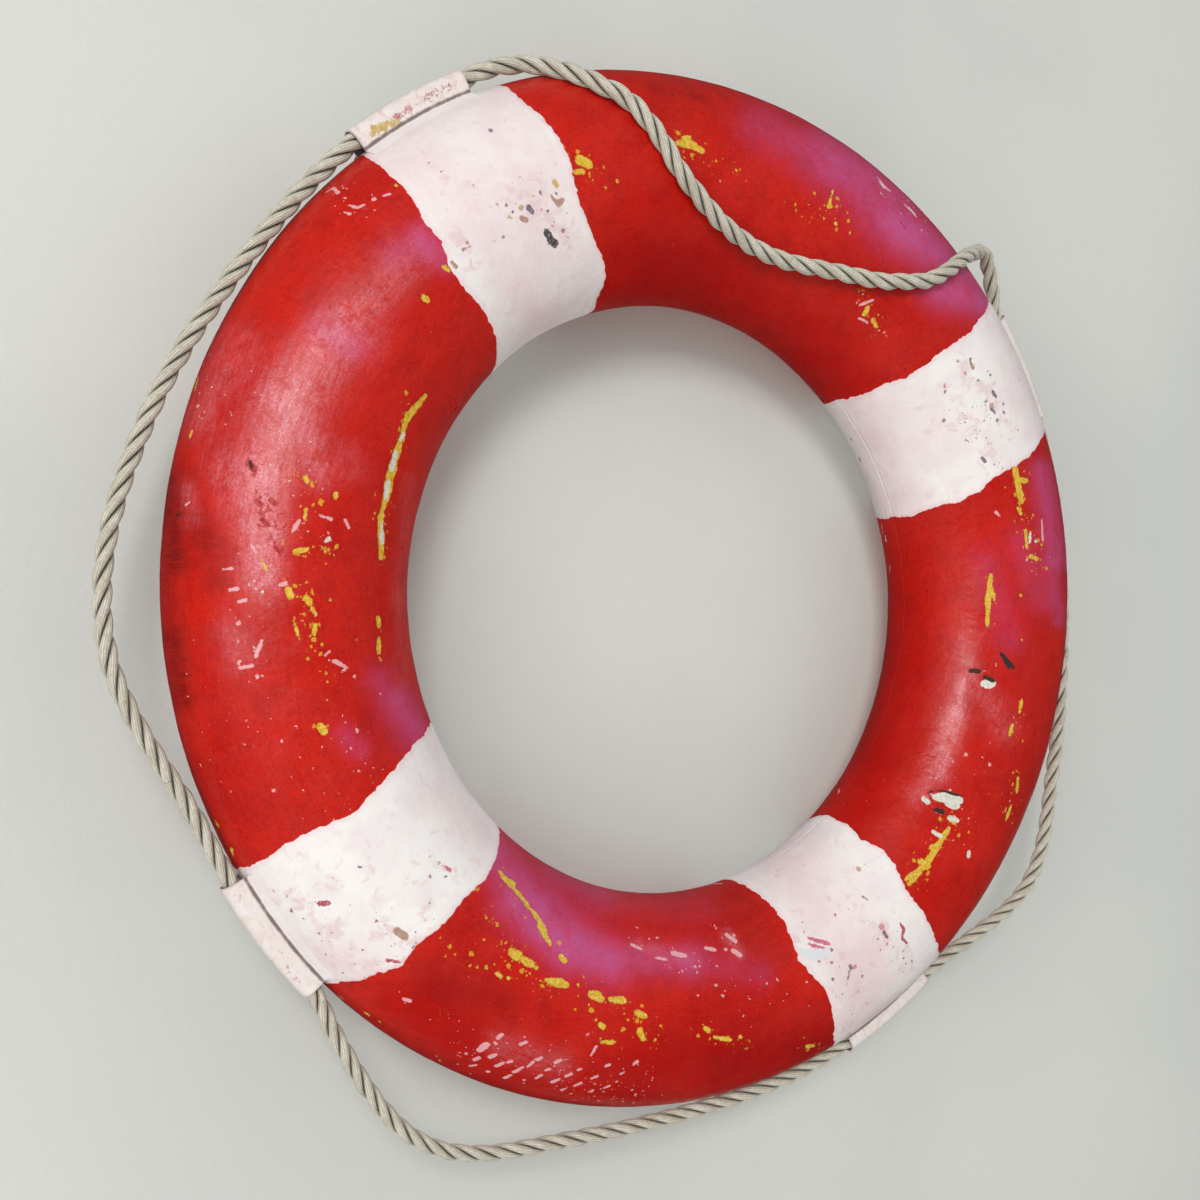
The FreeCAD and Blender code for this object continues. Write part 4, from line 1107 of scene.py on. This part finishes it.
# cross directions that don't twist along the line
across = np.zeros_like(path)
last = np.array([0, 1.0, 0])
for i, direction in enumerate(along):
    last = last - direction * (last @ direction)
    last /= np.linalg.norm(last)
    across[i] = last
across2 = np.cross(along, across)
path_deg = np.degrees(np.unwrap(np.arctan2(path[:, 2], path[:, 0])))
path_deg += 360 * round((ROPE[0][0] - path_deg[0]) / 360)

# ---------------------------------------------------------------- rope
LAY = 52.0  # rope length for one turn of the strands
STRAND_ORBIT, STRAND_R = 3.12, 2.95
STRANDS, YARNS, STRAND_SIDES = 3, 11, 40


def rope_material():
    t = Tree("laid_rope")
    fibres = t.stretched(along=0.16, round=YARNS / 2)
    fibre = t.noise(size=1.0, detail=5, rough=0.7, vec=fibres)
    fine = t.noise(size=0.45, detail=4, rough=0.7, vec=fibres)
    mottle = t.noise(size=14, detail=4, rough=0.6)
    crown = t.attr("crown")
    colour = t.mix(t.ramp(mottle, over=(0.35, 0.65)), srgb(216, 209, 190), srgb(234, 228, 212))
    # painted shade: dark lines between the yarns
    line = t.math("ABSOLUTE", t.math("COSINE", t.times(t.attr("round"), YARNS / 2)))
    colour = t.mix(t.ramp(line, over=(0.0, 0.46), to=(0.85, 0.0)), colour, srgb(112, 102, 82))
    colour = t.stain(colour, srgb(158, 148, 126), by=fibre, over=(0.46, 0.70), most=0.7)
    colour = t.stain(colour, srgb(240, 236, 224), by=fine, over=(0.52, 0.75), most=0.55)
    # painted shade deep between the strands, then spots
    colour = t.mix(t.ramp(crown, over=(0.16, 0.80), to=(0.97, 0.0)), colour, srgb(52, 45, 35))
    colour = t.stain(colour, srgb(132, 120, 98), by=t.noise(size=4, detail=4, rough=0.7),
                     over=(0.60, 0.75), most=0.45)
    colour = t.stain(colour, srgb(150, 139, 116), by=t.noise(size=1.0, detail=4, rough=0.7),
                     over=(0.52, 0.72), most=0.5)
    height = t.scaled(fibre, by=0.9, plus=t.times(fine, 0.5))
    return t.finish(colour, 0.86, t.bump(height, dist=0.0005), Sheen_Weight=0.25,
                    Sheen_Roughness=0.5, Specular_IOR_Level=0.25)


rope_mat = rope_material()


def rope_piece(name, first, last):
    """Three laid strands between two samples of the rope's line, each with its yarns."""
    samples = np.arange(first, last + 1)
    s = samples * STEP
    rows = len(samples)
    turn = np.arange(STRAND_SIDES) * 2 * math.pi / STRAND_SIDES
    yarn_turn = turn[None, :] + 2 * math.pi * s[:, None] / LAY
    yarn_ridge = np.abs(np.cos(YARNS * yarn_turn / 2.0))
    # each strand is pressed flat where it meets its neighbours
    pressed = 1 - 0.10 * np.clip(-np.cos(turn), 0, 1)[None, :]
    side1, side2 = across[samples], across2[samples]
    points, quads, caps, crown = [], [], [], []
    for k in range(STRANDS):
        orbit = (2 * math.pi * s / LAY + 2 * math.pi * k / STRANDS)[:, None]
        loose = 0.10 * np.sin(s / 37.0 + k * 2.1) + 0.06 * np.sin(s / 11.3 + k)
        outward = side1 * np.cos(orbit) + side2 * np.sin(orbit)
        sideways = -side1 * np.sin(orbit) + side2 * np.cos(orbit)
        heading = along[samples] + sideways * (2 * math.pi * STRAND_ORBIT / LAY)
        heading /= np.linalg.norm(heading, axis=1)[:, None]
        centre = path[samples] + outward * (STRAND_ORBIT + 0.12 * loose)[:, None]
        radius = STRAND_R * (1 + 0.012 * np.sin(s / 5.0 + k)[:, None]) - 0.22 + 0.30 * yarn_ridge
        radius = radius * pressed
        strand = (centre[:, None, :]
                  + outward[:, None, :] * (radius * np.cos(turn))[..., None]
                  + np.cross(heading, outward)[:, None, :] * (radius * np.sin(turn))[..., None])
        points.append(strand.reshape(-1, 3))
        # crown runs from 0 between the strands to 1 at their tops; the rope's colour uses it for
        # painted shade
        reach = np.linalg.norm(strand - path[samples][:, None, :], axis=-1)
        crown.append(((reach - 2.6) / 3.4).ravel())
        base = k * rows * STRAND_SIDES
        quads.append(base + grid_quads(rows, STRAND_SIDES, flip=True))
        around = base + np.arange(STRAND_SIDES)
        caps += [around[::-1], around + (rows - 1) * STRAND_SIDES]
    ob = build_mesh(name, np.concatenate(points), np.concatenate(quads), np.array(caps))
    put(ob, "crown", np.concatenate(crown))
    put(ob, "along", np.tile(np.repeat(s, STRAND_SIDES), STRANDS))
    put(ob, "round", np.tile(yarn_turn.ravel(), STRANDS))
    ob.data.materials.append(rope_mat)
    return ob


def at_angle(degrees):
    return int(np.argmin(np.abs(path_deg - degrees)))


# Ring angles where each free loop starts and ends.
LOOPS = {"top": (46.0, 110.5), "left": (152.0, 197.0), "bottom": (223.3, 264.0),
         "right": (309.6, 354.0)}
ends = {tag: (at_angle(a), at_angle(b)) for tag, (a, b) in LOOPS.items()}
for tag, (first, last) in ends.items():
    middle = (first + last) // 2
    half_a = rope_piece("rope_loop_%s_a" % tag, first, middle)
    half_b = rope_piece("rope_loop_%s_b" % tag, middle, last)
    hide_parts("rope_loop_" + tag)
    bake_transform(half_a)
    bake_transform(half_b)
RUNS = {
    "rope_run_top_left": (ends["top"][1], ends["left"][0]),
    "rope_run_bottom_left": (ends["left"][1], ends["bottom"][0]),
    "rope_run_bottom_right": (ends["bottom"][1], ends["right"][0]),
    "rope_end_upper": (at_angle(31.7), ends["top"][0]),
    "rope_end_lower": (ends["right"][1], at_angle(391.5)),
}
for name, (first, last) in RUNS.items():
    ob = rope_piece(name + "_laid", first, last)
    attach(ob, "ring")
    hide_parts(name)

# ---------------------------------------------------------------- rope guides
GUIDE_ANGLE = 13.5  # degrees of the ring that a guide covers
GUIDE_ROWS, ARCH_POINTS = 84, 36
FLANGE_FRONT, FLANGE_BACK = -26.0, 6.0  # y of the flange edges
CREASE_R = 380.0  # where the arch's sides leave the flanges
FILLET = 1.2
GUIDES = {"top_left": 124.35, "top_right": 31.6, "bottom_left": 215.05, "bottom_right": 300.6}
# Stains as strokes on the view grid, in the same columns as SOFT.
GUIDE_STAINS = {
    "ystain": [(374,132, 396,121, 7,1.0), (358,142, 372,134, 6,.6), (396,118, 404,112, 4,.4)],
    "mstain": [(397,117, 410,109, 5,1.0), (428,96, 446,86, 6,.8), (416,103, 424,98, 4,.5),
               (354,146, 362,141, 5,.5), (236,893, 240,897, 4,.7), (288,968, 302,984, 6,.5),
               (270,940, 282,955, 5,.3)],
}


def guide_section():
    """Outer and inner outlines of a guide, front to back and back again: radius, y."""
    def surface(offset, y):
        level = max(0, 1 - (y / (HALF_D + offset)) ** 2)
        return RING_R + (HALF_W + offset) * math.sqrt(level), y

    def flange(start, stop, edge, taper):
        return [surface(GUIDE_WALL * (0.12 + 0.88 * min(1, abs(y - edge) / taper)), y)
                for y in np.linspace(start, stop, 8)]

    def fillet(fractions, y, side):
        root = surface(GUIDE_WALL, y)[0]
        return [(root + f * f * 2.2, y + side * FILLET * (1 - f) ** 2) for f in fractions]

    def web(fractions, y):
        return [(CREASE_R + f * (ROPE_R - CREASE_R), y) for f in fractions]

    def arch(radius, start, stop):
        return [(ROPE_R + radius * math.cos(a), ROPE_Y + radius * math.sin(a))
                for a in np.linspace(start, stop, ARCH_POINTS)]

    arch_r = BORE_R + GUIDE_WALL
    arch_front, arch_back = ROPE_Y - BORE_R - GUIDE_WALL, ROPE_Y + BORE_R + GUIDE_WALL
    rise, quarter = (0.12, 0.3, 0.55, 0.8), math.pi / 2
    outer = (flange(FLANGE_FRONT, arch_front - FILLET, edge=FLANGE_FRONT, taper=6.0)
             + fillet(np.linspace(0.15, 0.9, 4), arch_front, -1)
             + web(rise, arch_front) + arch(arch_r, -quarter, quarter)
             + web(rise[::-1], arch_back)
             + fillet(np.linspace(0.9, 0.15, 4), arch_back, 1)
             + flange(arch_back + FILLET, FLANGE_BACK, edge=FLANGE_BACK, taper=5.0))
    sunk = -0.35  # the underside lies a little inside the ring
    inner = ([surface(sunk, y) for y in np.linspace(FLANGE_BACK, ROPE_Y + BORE_R, 8)]
             + arch(BORE_R, quarter, -quarter)
             + [surface(sunk, y) for y in np.linspace(ROPE_Y - BORE_R, FLANGE_FRONT, 8)])
    return np.array(outer), np.array(inner)


def close_guide_ends(me, outer_count, inner_count):
    """Triangles between the outer and inner outlines at both mouths."""
    total = outer_count + inner_count
    bm = bmesh.new()
    bm.from_mesh(me)
    bm.verts.ensure_lookup_table()
    for row in (0, GUIDE_ROWS - 1):
        rim = [bm.verts[row * total + k] for k in range(total)]
        a, b = 0, total - 1
        while a < outer_count - 1 or b > outer_count:
            outer_part = (a + 1) / (outer_count - 1) if a < outer_count - 1 else 2
            inner_part = (total - b) / (inner_count - 1) if b > outer_count else 2
            if outer_part <= inner_part:
                bm.faces.new([rim[a], rim[a + 1], rim[b]])
                a += 1
            else:
                bm.faces.new([rim[a], rim[b - 1], rim[b]])
                b -= 1
    bmesh.ops.recalc_face_normals(bm, faces=bm.faces[:])
    bm.to_mesh(me)
    bm.free()


def guide(tag, centre, seed, material):
    """An arched sleeve over the rope, with flanges laid on the rim."""
    outer, inner = guide_section()
    section = np.concatenate([outer, inner])
    shape = (GUIDE_ROWS, len(section))
    u = np.linspace(-1, 1, GUIDE_ROWS)
    ring = (math.radians(centre) + math.radians(GUIDE_ANGLE / 2) * u)[:, None]
    section_r, section_y = (np.broadcast_to(column, shape) for column in section.T)
    # a slightly flared lip at each mouth
    flare = 1 + 0.03 * np.clip((np.abs(u) - 0.965) / 0.035, 0, 1)[:, None]
    arched = section_r > 382.5
    radius = np.where(arched, ROPE_R + (section_r - ROPE_R) * flare, section_r)
    y = np.where(arched, ROPE_Y + (section_y - ROPE_Y) * flare, section_y)
    points = np.stack([radius * np.cos(ring), y, radius * np.sin(ring)], -1).reshape(-1, 3)
    ring = np.broadcast_to(ring, shape)
    radial = np.stack([np.cos(ring), np.zeros(shape), np.sin(ring)], -1).reshape(-1, 3)
    outside = np.zeros(shape)
    outside[:, :len(outer)] = 1
    points = points + radial * (0.16 * fbm(points, 16.0, 2, seed) * outside.ravel())[:, None]

    ob = build_mesh("rope_guide_%s_sleeve" % tag, points, grid_quads(*shape))
    me = ob.data
    close_guide_ends(me, len(outer), len(inner))
    me.polygons.foreach_set("use_smooth", np.ones(len(me.polygons), bool))
    me.set_sharp_from_angle(angle=math.radians(42))
    put(ob, "gu", np.repeat(u, len(section)))
    put(ob, "outer", outside)
    view_x, view_y = project(points)
    for key, rows in GUIDE_STAINS.items():
        put(ob, key, np.maximum.reduce([stroke(view_x, view_y, *row) for row in rows]))
    # painted shade and dirt in the crease where the arch's sides meet the flanges
    crease_shade_and_dirt = np.exp(-(((section_r - CREASE_R) / 1.5) ** 2))
    put(ob, "crease_shade_and_dirt", crease_shade_and_dirt * (np.abs(section_y - ROPE_Y) < 8.6) * outside)
    put(ob, "flange", smooth(380.6 - section_r, 0.0, 1.0) * outside)
    me.materials.append(material)
    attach(ob, "ring")
    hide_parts("rope_guide_" + tag)


def guide_material(seed, pinkness):
    t = Tree("guide_paint_%d" % seed)
    own = t.vmath("ADD", t.pos, (seed * 31.0, seed * 17.0, seed * 7.0))
    colour = t.mix(t.ramp(t.noise(size=12, detail=4, rough=0.6, vec=own), over=(0.35, 0.65)),
                   srgb(240, 228, 224), srgb(244, 236, 234))
    colour = t.stain(colour, srgb(222, 184, 184), over=(0.48, 0.68), most=pinkness,
                     by=t.noise(size=6, detail=5, rough=0.7, vec=own, distort=0.8))
    cream = t.noise(size=7, detail=5, rough=0.7, vec=own, shift=(9.0, 3.0, 77.0), distort=0.5)
    colour = t.stain(colour, srgb(226, 206, 188), by=cream, over=(0.50, 0.68), most=0.5)
    # yellow and magenta stains
    cloud = t.noise(size=3.6, detail=4, rough=0.65, vec=own, distort=0.5)
    yellow = t.mix(t.ramp(t.noise(size=3, rough=0.6), over=(0.4, 0.6)),
                   srgb(196, 160, 60), srgb(216, 190, 130))
    colour = t.stain(colour, yellow, by=t.scaled(t.attr("ystain"), by=0.34, plus=cloud),
                     over=(0.66, 0.80), most=0.9)
    cloud = t.noise(size=3.2, detail=4, rough=0.65, vec=own, shift=(5.0, 70.0, 9.0), distort=0.5)
    chip = t.ramp(t.scaled(t.attr("mstain"), by=0.34, plus=cloud), over=(0.68, 0.80),
                  to=(0, 0.8))
    magenta = t.mix(t.ramp(t.noise(size=4, rough=0.6), over=(0.42, 0.58)),
                    srgb(186, 92, 128), srgb(206, 140, 140))
    colour = t.mix(chip, colour, magenta)
    small_chip = t.ramp(t.noise(size=2.4, rough=0.6, vec=own, shift=(15.0, 30.0, 29.0)),
                        over=(0.70, 0.75), to=(0, 0.55))
    colour = t.mix(small_chip, colour, srgb(176, 120, 120))
    # pink lips, painted shade darkening the bore, and flanges white like the bands
    colour = t.stain(colour, srgb(206, 170, 170), by=t.math("ABSOLUTE", t.attr("gu")),
                     over=(0.955, 1.0), most=0.5)
    # painted shade: the bore and the underside are darkened
    colour = t.mix(t.ramp(t.attr("outer"), over=(0.0, 0.5), to=(0.8, 0.0)), colour,
                   srgb(84, 66, 58))
    white = t.mix(t.ramp(t.noise(size=26, detail=4, rough=0.6), over=(0.38, 0.66)),
                  srgb(247, 240, 239), srgb(242, 231, 231))
    colour = t.mix(t.attr("flange"), colour, white)
    # painted shade with grime along that crease
    darkening = t.times(t.attr("crease_shade_and_dirt"), t.ramp(t.noise(size=8, detail=4, rough=0.65, vec=own),
                                             over=(0.36, 0.60), to=(0.85, 1.15)))
    colour = t.stain(colour, srgb(104, 80, 74), by=darkening, over=(0.2, 0.95), most=0.88)
    height = t.scaled(t.noise(size=4, detail=4, rough=0.6), by=0.5,
                      plus=t.times(t.noise(size=1.1, detail=4, rough=0.6), 0.2))
    height = t.scaled(t.most(chip, small_chip), by=-0.5, plus=height)
    rough = t.ramp(t.noise(size=10, rough=0.6), over=(0.3, 0.7), to=(0.42, 0.58))
    return t.finish(colour, rough, t.bump(height, dist=0.00025))


guide_mats = [guide_material(seed, pinkness)
              for seed, pinkness in enumerate((0.6, 0.25, 0.325, 0.4), start=1)]
for k, (tag, centre) in enumerate(GUIDES.items()):
    guide(tag, centre, k, guide_mats[k])


# ---------------------------------------------------------------- CAD pieces that stay
def plain_material(name, light, dark, size, rough, bump_mm):
    """Two mottled colours. All the textures scale with size."""
    t = Tree(name)
    colour = t.mix(t.ramp(t.noise(size, detail=5, rough=0.6), over=(0.35, 0.68)), light, dark)
    colour = t.stain(colour, tuple(c * 0.7 for c in light), over=(0.5, 0.78), most=0.5,
                     by=t.noise(size * 0.2, detail=4, rough=0.65))
    height = t.plus(t.noise(size * 0.25, detail=4, rough=0.6),
                    t.times(t.noise(size * 0.06, rough=0.6), 0.3))
    spread = t.ramp(t.noise(size * 0.6, rough=0.5), over=(0.3, 0.7),
                    to=(rough - 0.08, rough + 0.08))
    return t.finish(colour, spread, t.bump(height, dist=bump_mm * MM))


foam_mat = plain_material("closed_cell_foam", srgb(236, 228, 204), srgb(222, 208, 176),
                          size=9.0, rough=0.85, bump_mm=0.6)
glue_mat = plain_material("bonding_paste", srgb(206, 196, 160), srgb(184, 170, 128),
                          size=7.0, rough=0.55, bump_mm=0.3)
plug_mat = plain_material("plug_plastic", srgb(150, 22, 20), srgb(120, 14, 16),
                          size=6.0, rough=0.48, bump_mm=0.12)
twine_mat = plain_material("waxed_twine", srgb(132, 118, 92), srgb(96, 84, 62),
                           size=1.6, rough=0.7, bump_mm=0.3)
for name, ob in NODES.items():
    if name.startswith("foam"):
        mat = foam_mat
    elif name.startswith("seam"):
        mat = glue_mat
    elif name.endswith("plug"):
        mat = plug_mat
    elif "whipping" in name:
        mat = twine_mat
    else:
        continue
    ob.data.materials.clear()
    ob.data.materials.append(mat)

# ---------------------------------------------------------------- stage, in metres
WALL_Y, FLOOR_Z = 0.0668, -1.4


def stage_plane(name, corners, mat):
    me = bpy.data.meshes.new(name)
    me.from_pydata([Vector(corner) for corner in corners], [], [(0, 1, 2, 3)])
    ob = add_object(name, me)
    ob.data.materials.append(mat)
    return ob


def stage_material(name, colour_a, colour_b):
    """A dull, faintly uneven surface. Returns the tree and its colour."""
    t = Tree(name)
    colour = t.mix(t.ramp(t.noise(size=420, rough=0.5), over=(0.35, 0.65)), colour_a, colour_b)
    height = t.plus(t.noise(size=9, detail=5, rough=0.6),
                    t.times(t.noise(size=3, detail=4, rough=0.6), 0.4))
    t.finish(colour, 0.9, t.bump(height, dist=0.0006, strength=0.6), Specular_IOR_Level=0.15)
    return t, colour


def wall_material():
    """Clear when seen from behind."""
    t, _ = stage_material("pale_wall", srgb(220, 221, 216), srgb(212, 214, 210))
    facing = t.node("NewGeometry")
    clear = t.node("BsdfTransparent")
    mix = t.node("MixShader")
    t.link(facing.outputs["Backfacing"], mix.inputs[0])
    t.link(t.bsdf.outputs[0], mix.inputs[1])
    t.link(clear.outputs[0], mix.inputs[2])
    t.link(mix.outputs[0], t.out.inputs[0])
    return t.mat


def floor_material():
    """Glows a little, to the camera only."""
    t, colour = stage_material("pale_floor", srgb(218, 218, 214), srgb(214, 214, 211))
    seen = t.node("LightPath")
    t.link(colour, t.bsdf.inputs["Emission Color"])
    t.link(t.times(seen.outputs["Is Camera Ray"], 0.42), t.bsdf.inputs["Emission Strength"])
    return t.mat


wall = stage_plane("backdrop", [(-5, WALL_Y, FLOOR_Z), (5, WALL_Y, FLOOR_Z), (5, WALL_Y, 5),
                                (-5, WALL_Y, 5)], wall_material())
floor = stage_plane("floor", [(-7, -7, FLOOR_Z), (7, -7, FLOOR_Z), (7, 7, FLOOR_Z),
                              (-7, 7, FLOOR_Z)], floor_material())
floor.visible_glossy = False
wall.visible_diffuse = False
wall.visible_glossy = False
wall.visible_transmission = False
wall.visible_shadow = False


# ---------------------------------------------------------------- world and lights
def build_world():
    """Brighter upwards, dim in reflections, and even where the camera sees it."""
    world = bpy.data.worlds.new("studio")
    bpy.context.scene.world = world
    world.use_nodes = True
    nodes, link = world.node_tree.nodes, world.node_tree.links.new
    background = nodes["Background"]
    background.inputs[0].default_value = (0.80, 0.82, 0.82, 1)
    rays = nodes.new("ShaderNodeLightPath")
    level = nodes.new("ShaderNodeMath")  # 0.40, less 0.32 in reflections
    level.operation = "MULTIPLY_ADD"
    level.inputs[1].default_value = -0.32
    level.inputs[2].default_value = 0.40
    link(rays.outputs["Is Glossy Ray"], level.inputs[0])
    coords = nodes.new("ShaderNodeTexCoord")
    split = nodes.new("ShaderNodeSeparateXYZ")
    rise = nodes.new("ShaderNodeMapRange")
    for socket, value in zip(rise.inputs[1:5], (-0.7, 0.5, 0.45, 1.15)):  # from, then to
        socket.default_value = value
    graded = nodes.new("ShaderNodeMath")
    graded.operation = "MULTIPLY"
    link(coords.outputs["Generated"], split.inputs[0])
    link(split.outputs[2], rise.inputs[0])
    link(rise.outputs[0], graded.inputs[0])
    link(level.outputs[0], graded.inputs[1])
    seen = nodes.new("ShaderNodeMix")
    seen.data_type = "FLOAT"
    seen.inputs[3].default_value = 0.85  # strength the camera sees
    link(rays.outputs["Is Camera Ray"], seen.inputs[0])
    link(graded.outputs[0], seen.inputs[2])
    link(seen.outputs[0], background.inputs[1])


build_world()


def area_light(name, location, size, power, colour, glossy=False):
    """A square light aimed at the ring's centre."""
    light = bpy.data.lights.new(name, "AREA")
    light.energy = power
    light.color = colour
    light.size = size
    ob = add_object(name, light)
    ob.location = location
    ob.rotation_euler = (-Vector(location)).to_track_quat("-Z", "Y").to_euler()
    if not glossy:
        ob.visible_glossy = False


area_light("key", (-2.45, -4.85, 1.95), size=1.6, power=112, colour=(1.0, 0.985, 0.96),
           glossy=True)
area_light("soft_left", (-2.6, -2.2, 0.15), size=2.4, power=43, colour=(1.0, 0.995, 0.985))
area_light("fill", (2.2, -2.0, 0.7), size=2.0, power=9, colour=(0.95, 0.98, 1.0))
area_light("back_fill", (1.9, 1.9, 0.5), size=2.2, power=44, colour=(1, 1, 1))

cam = bpy.data.cameras.new("camera")
cam_ob = add_object("camera", cam)
cam.sensor_width = SENSOR
cam.lens = LENS
cam.shift_x, cam.shift_y = SHIFT_X, SHIFT_Y
cam.clip_start, cam.clip_end = 0.05, 50
turn = Matrix(np.stack([RIGHT, UP, -FORWARD], 1).tolist())
cam_ob.matrix_world = Matrix.Translation(Vector(EYE * MM)) @ turn.to_4x4()
scene = bpy.context.scene
scene.camera = cam_ob
scene.view_settings.view_transform = "Standard"
scene.view_settings.look = "None"

bpy.context.view_layer.update()
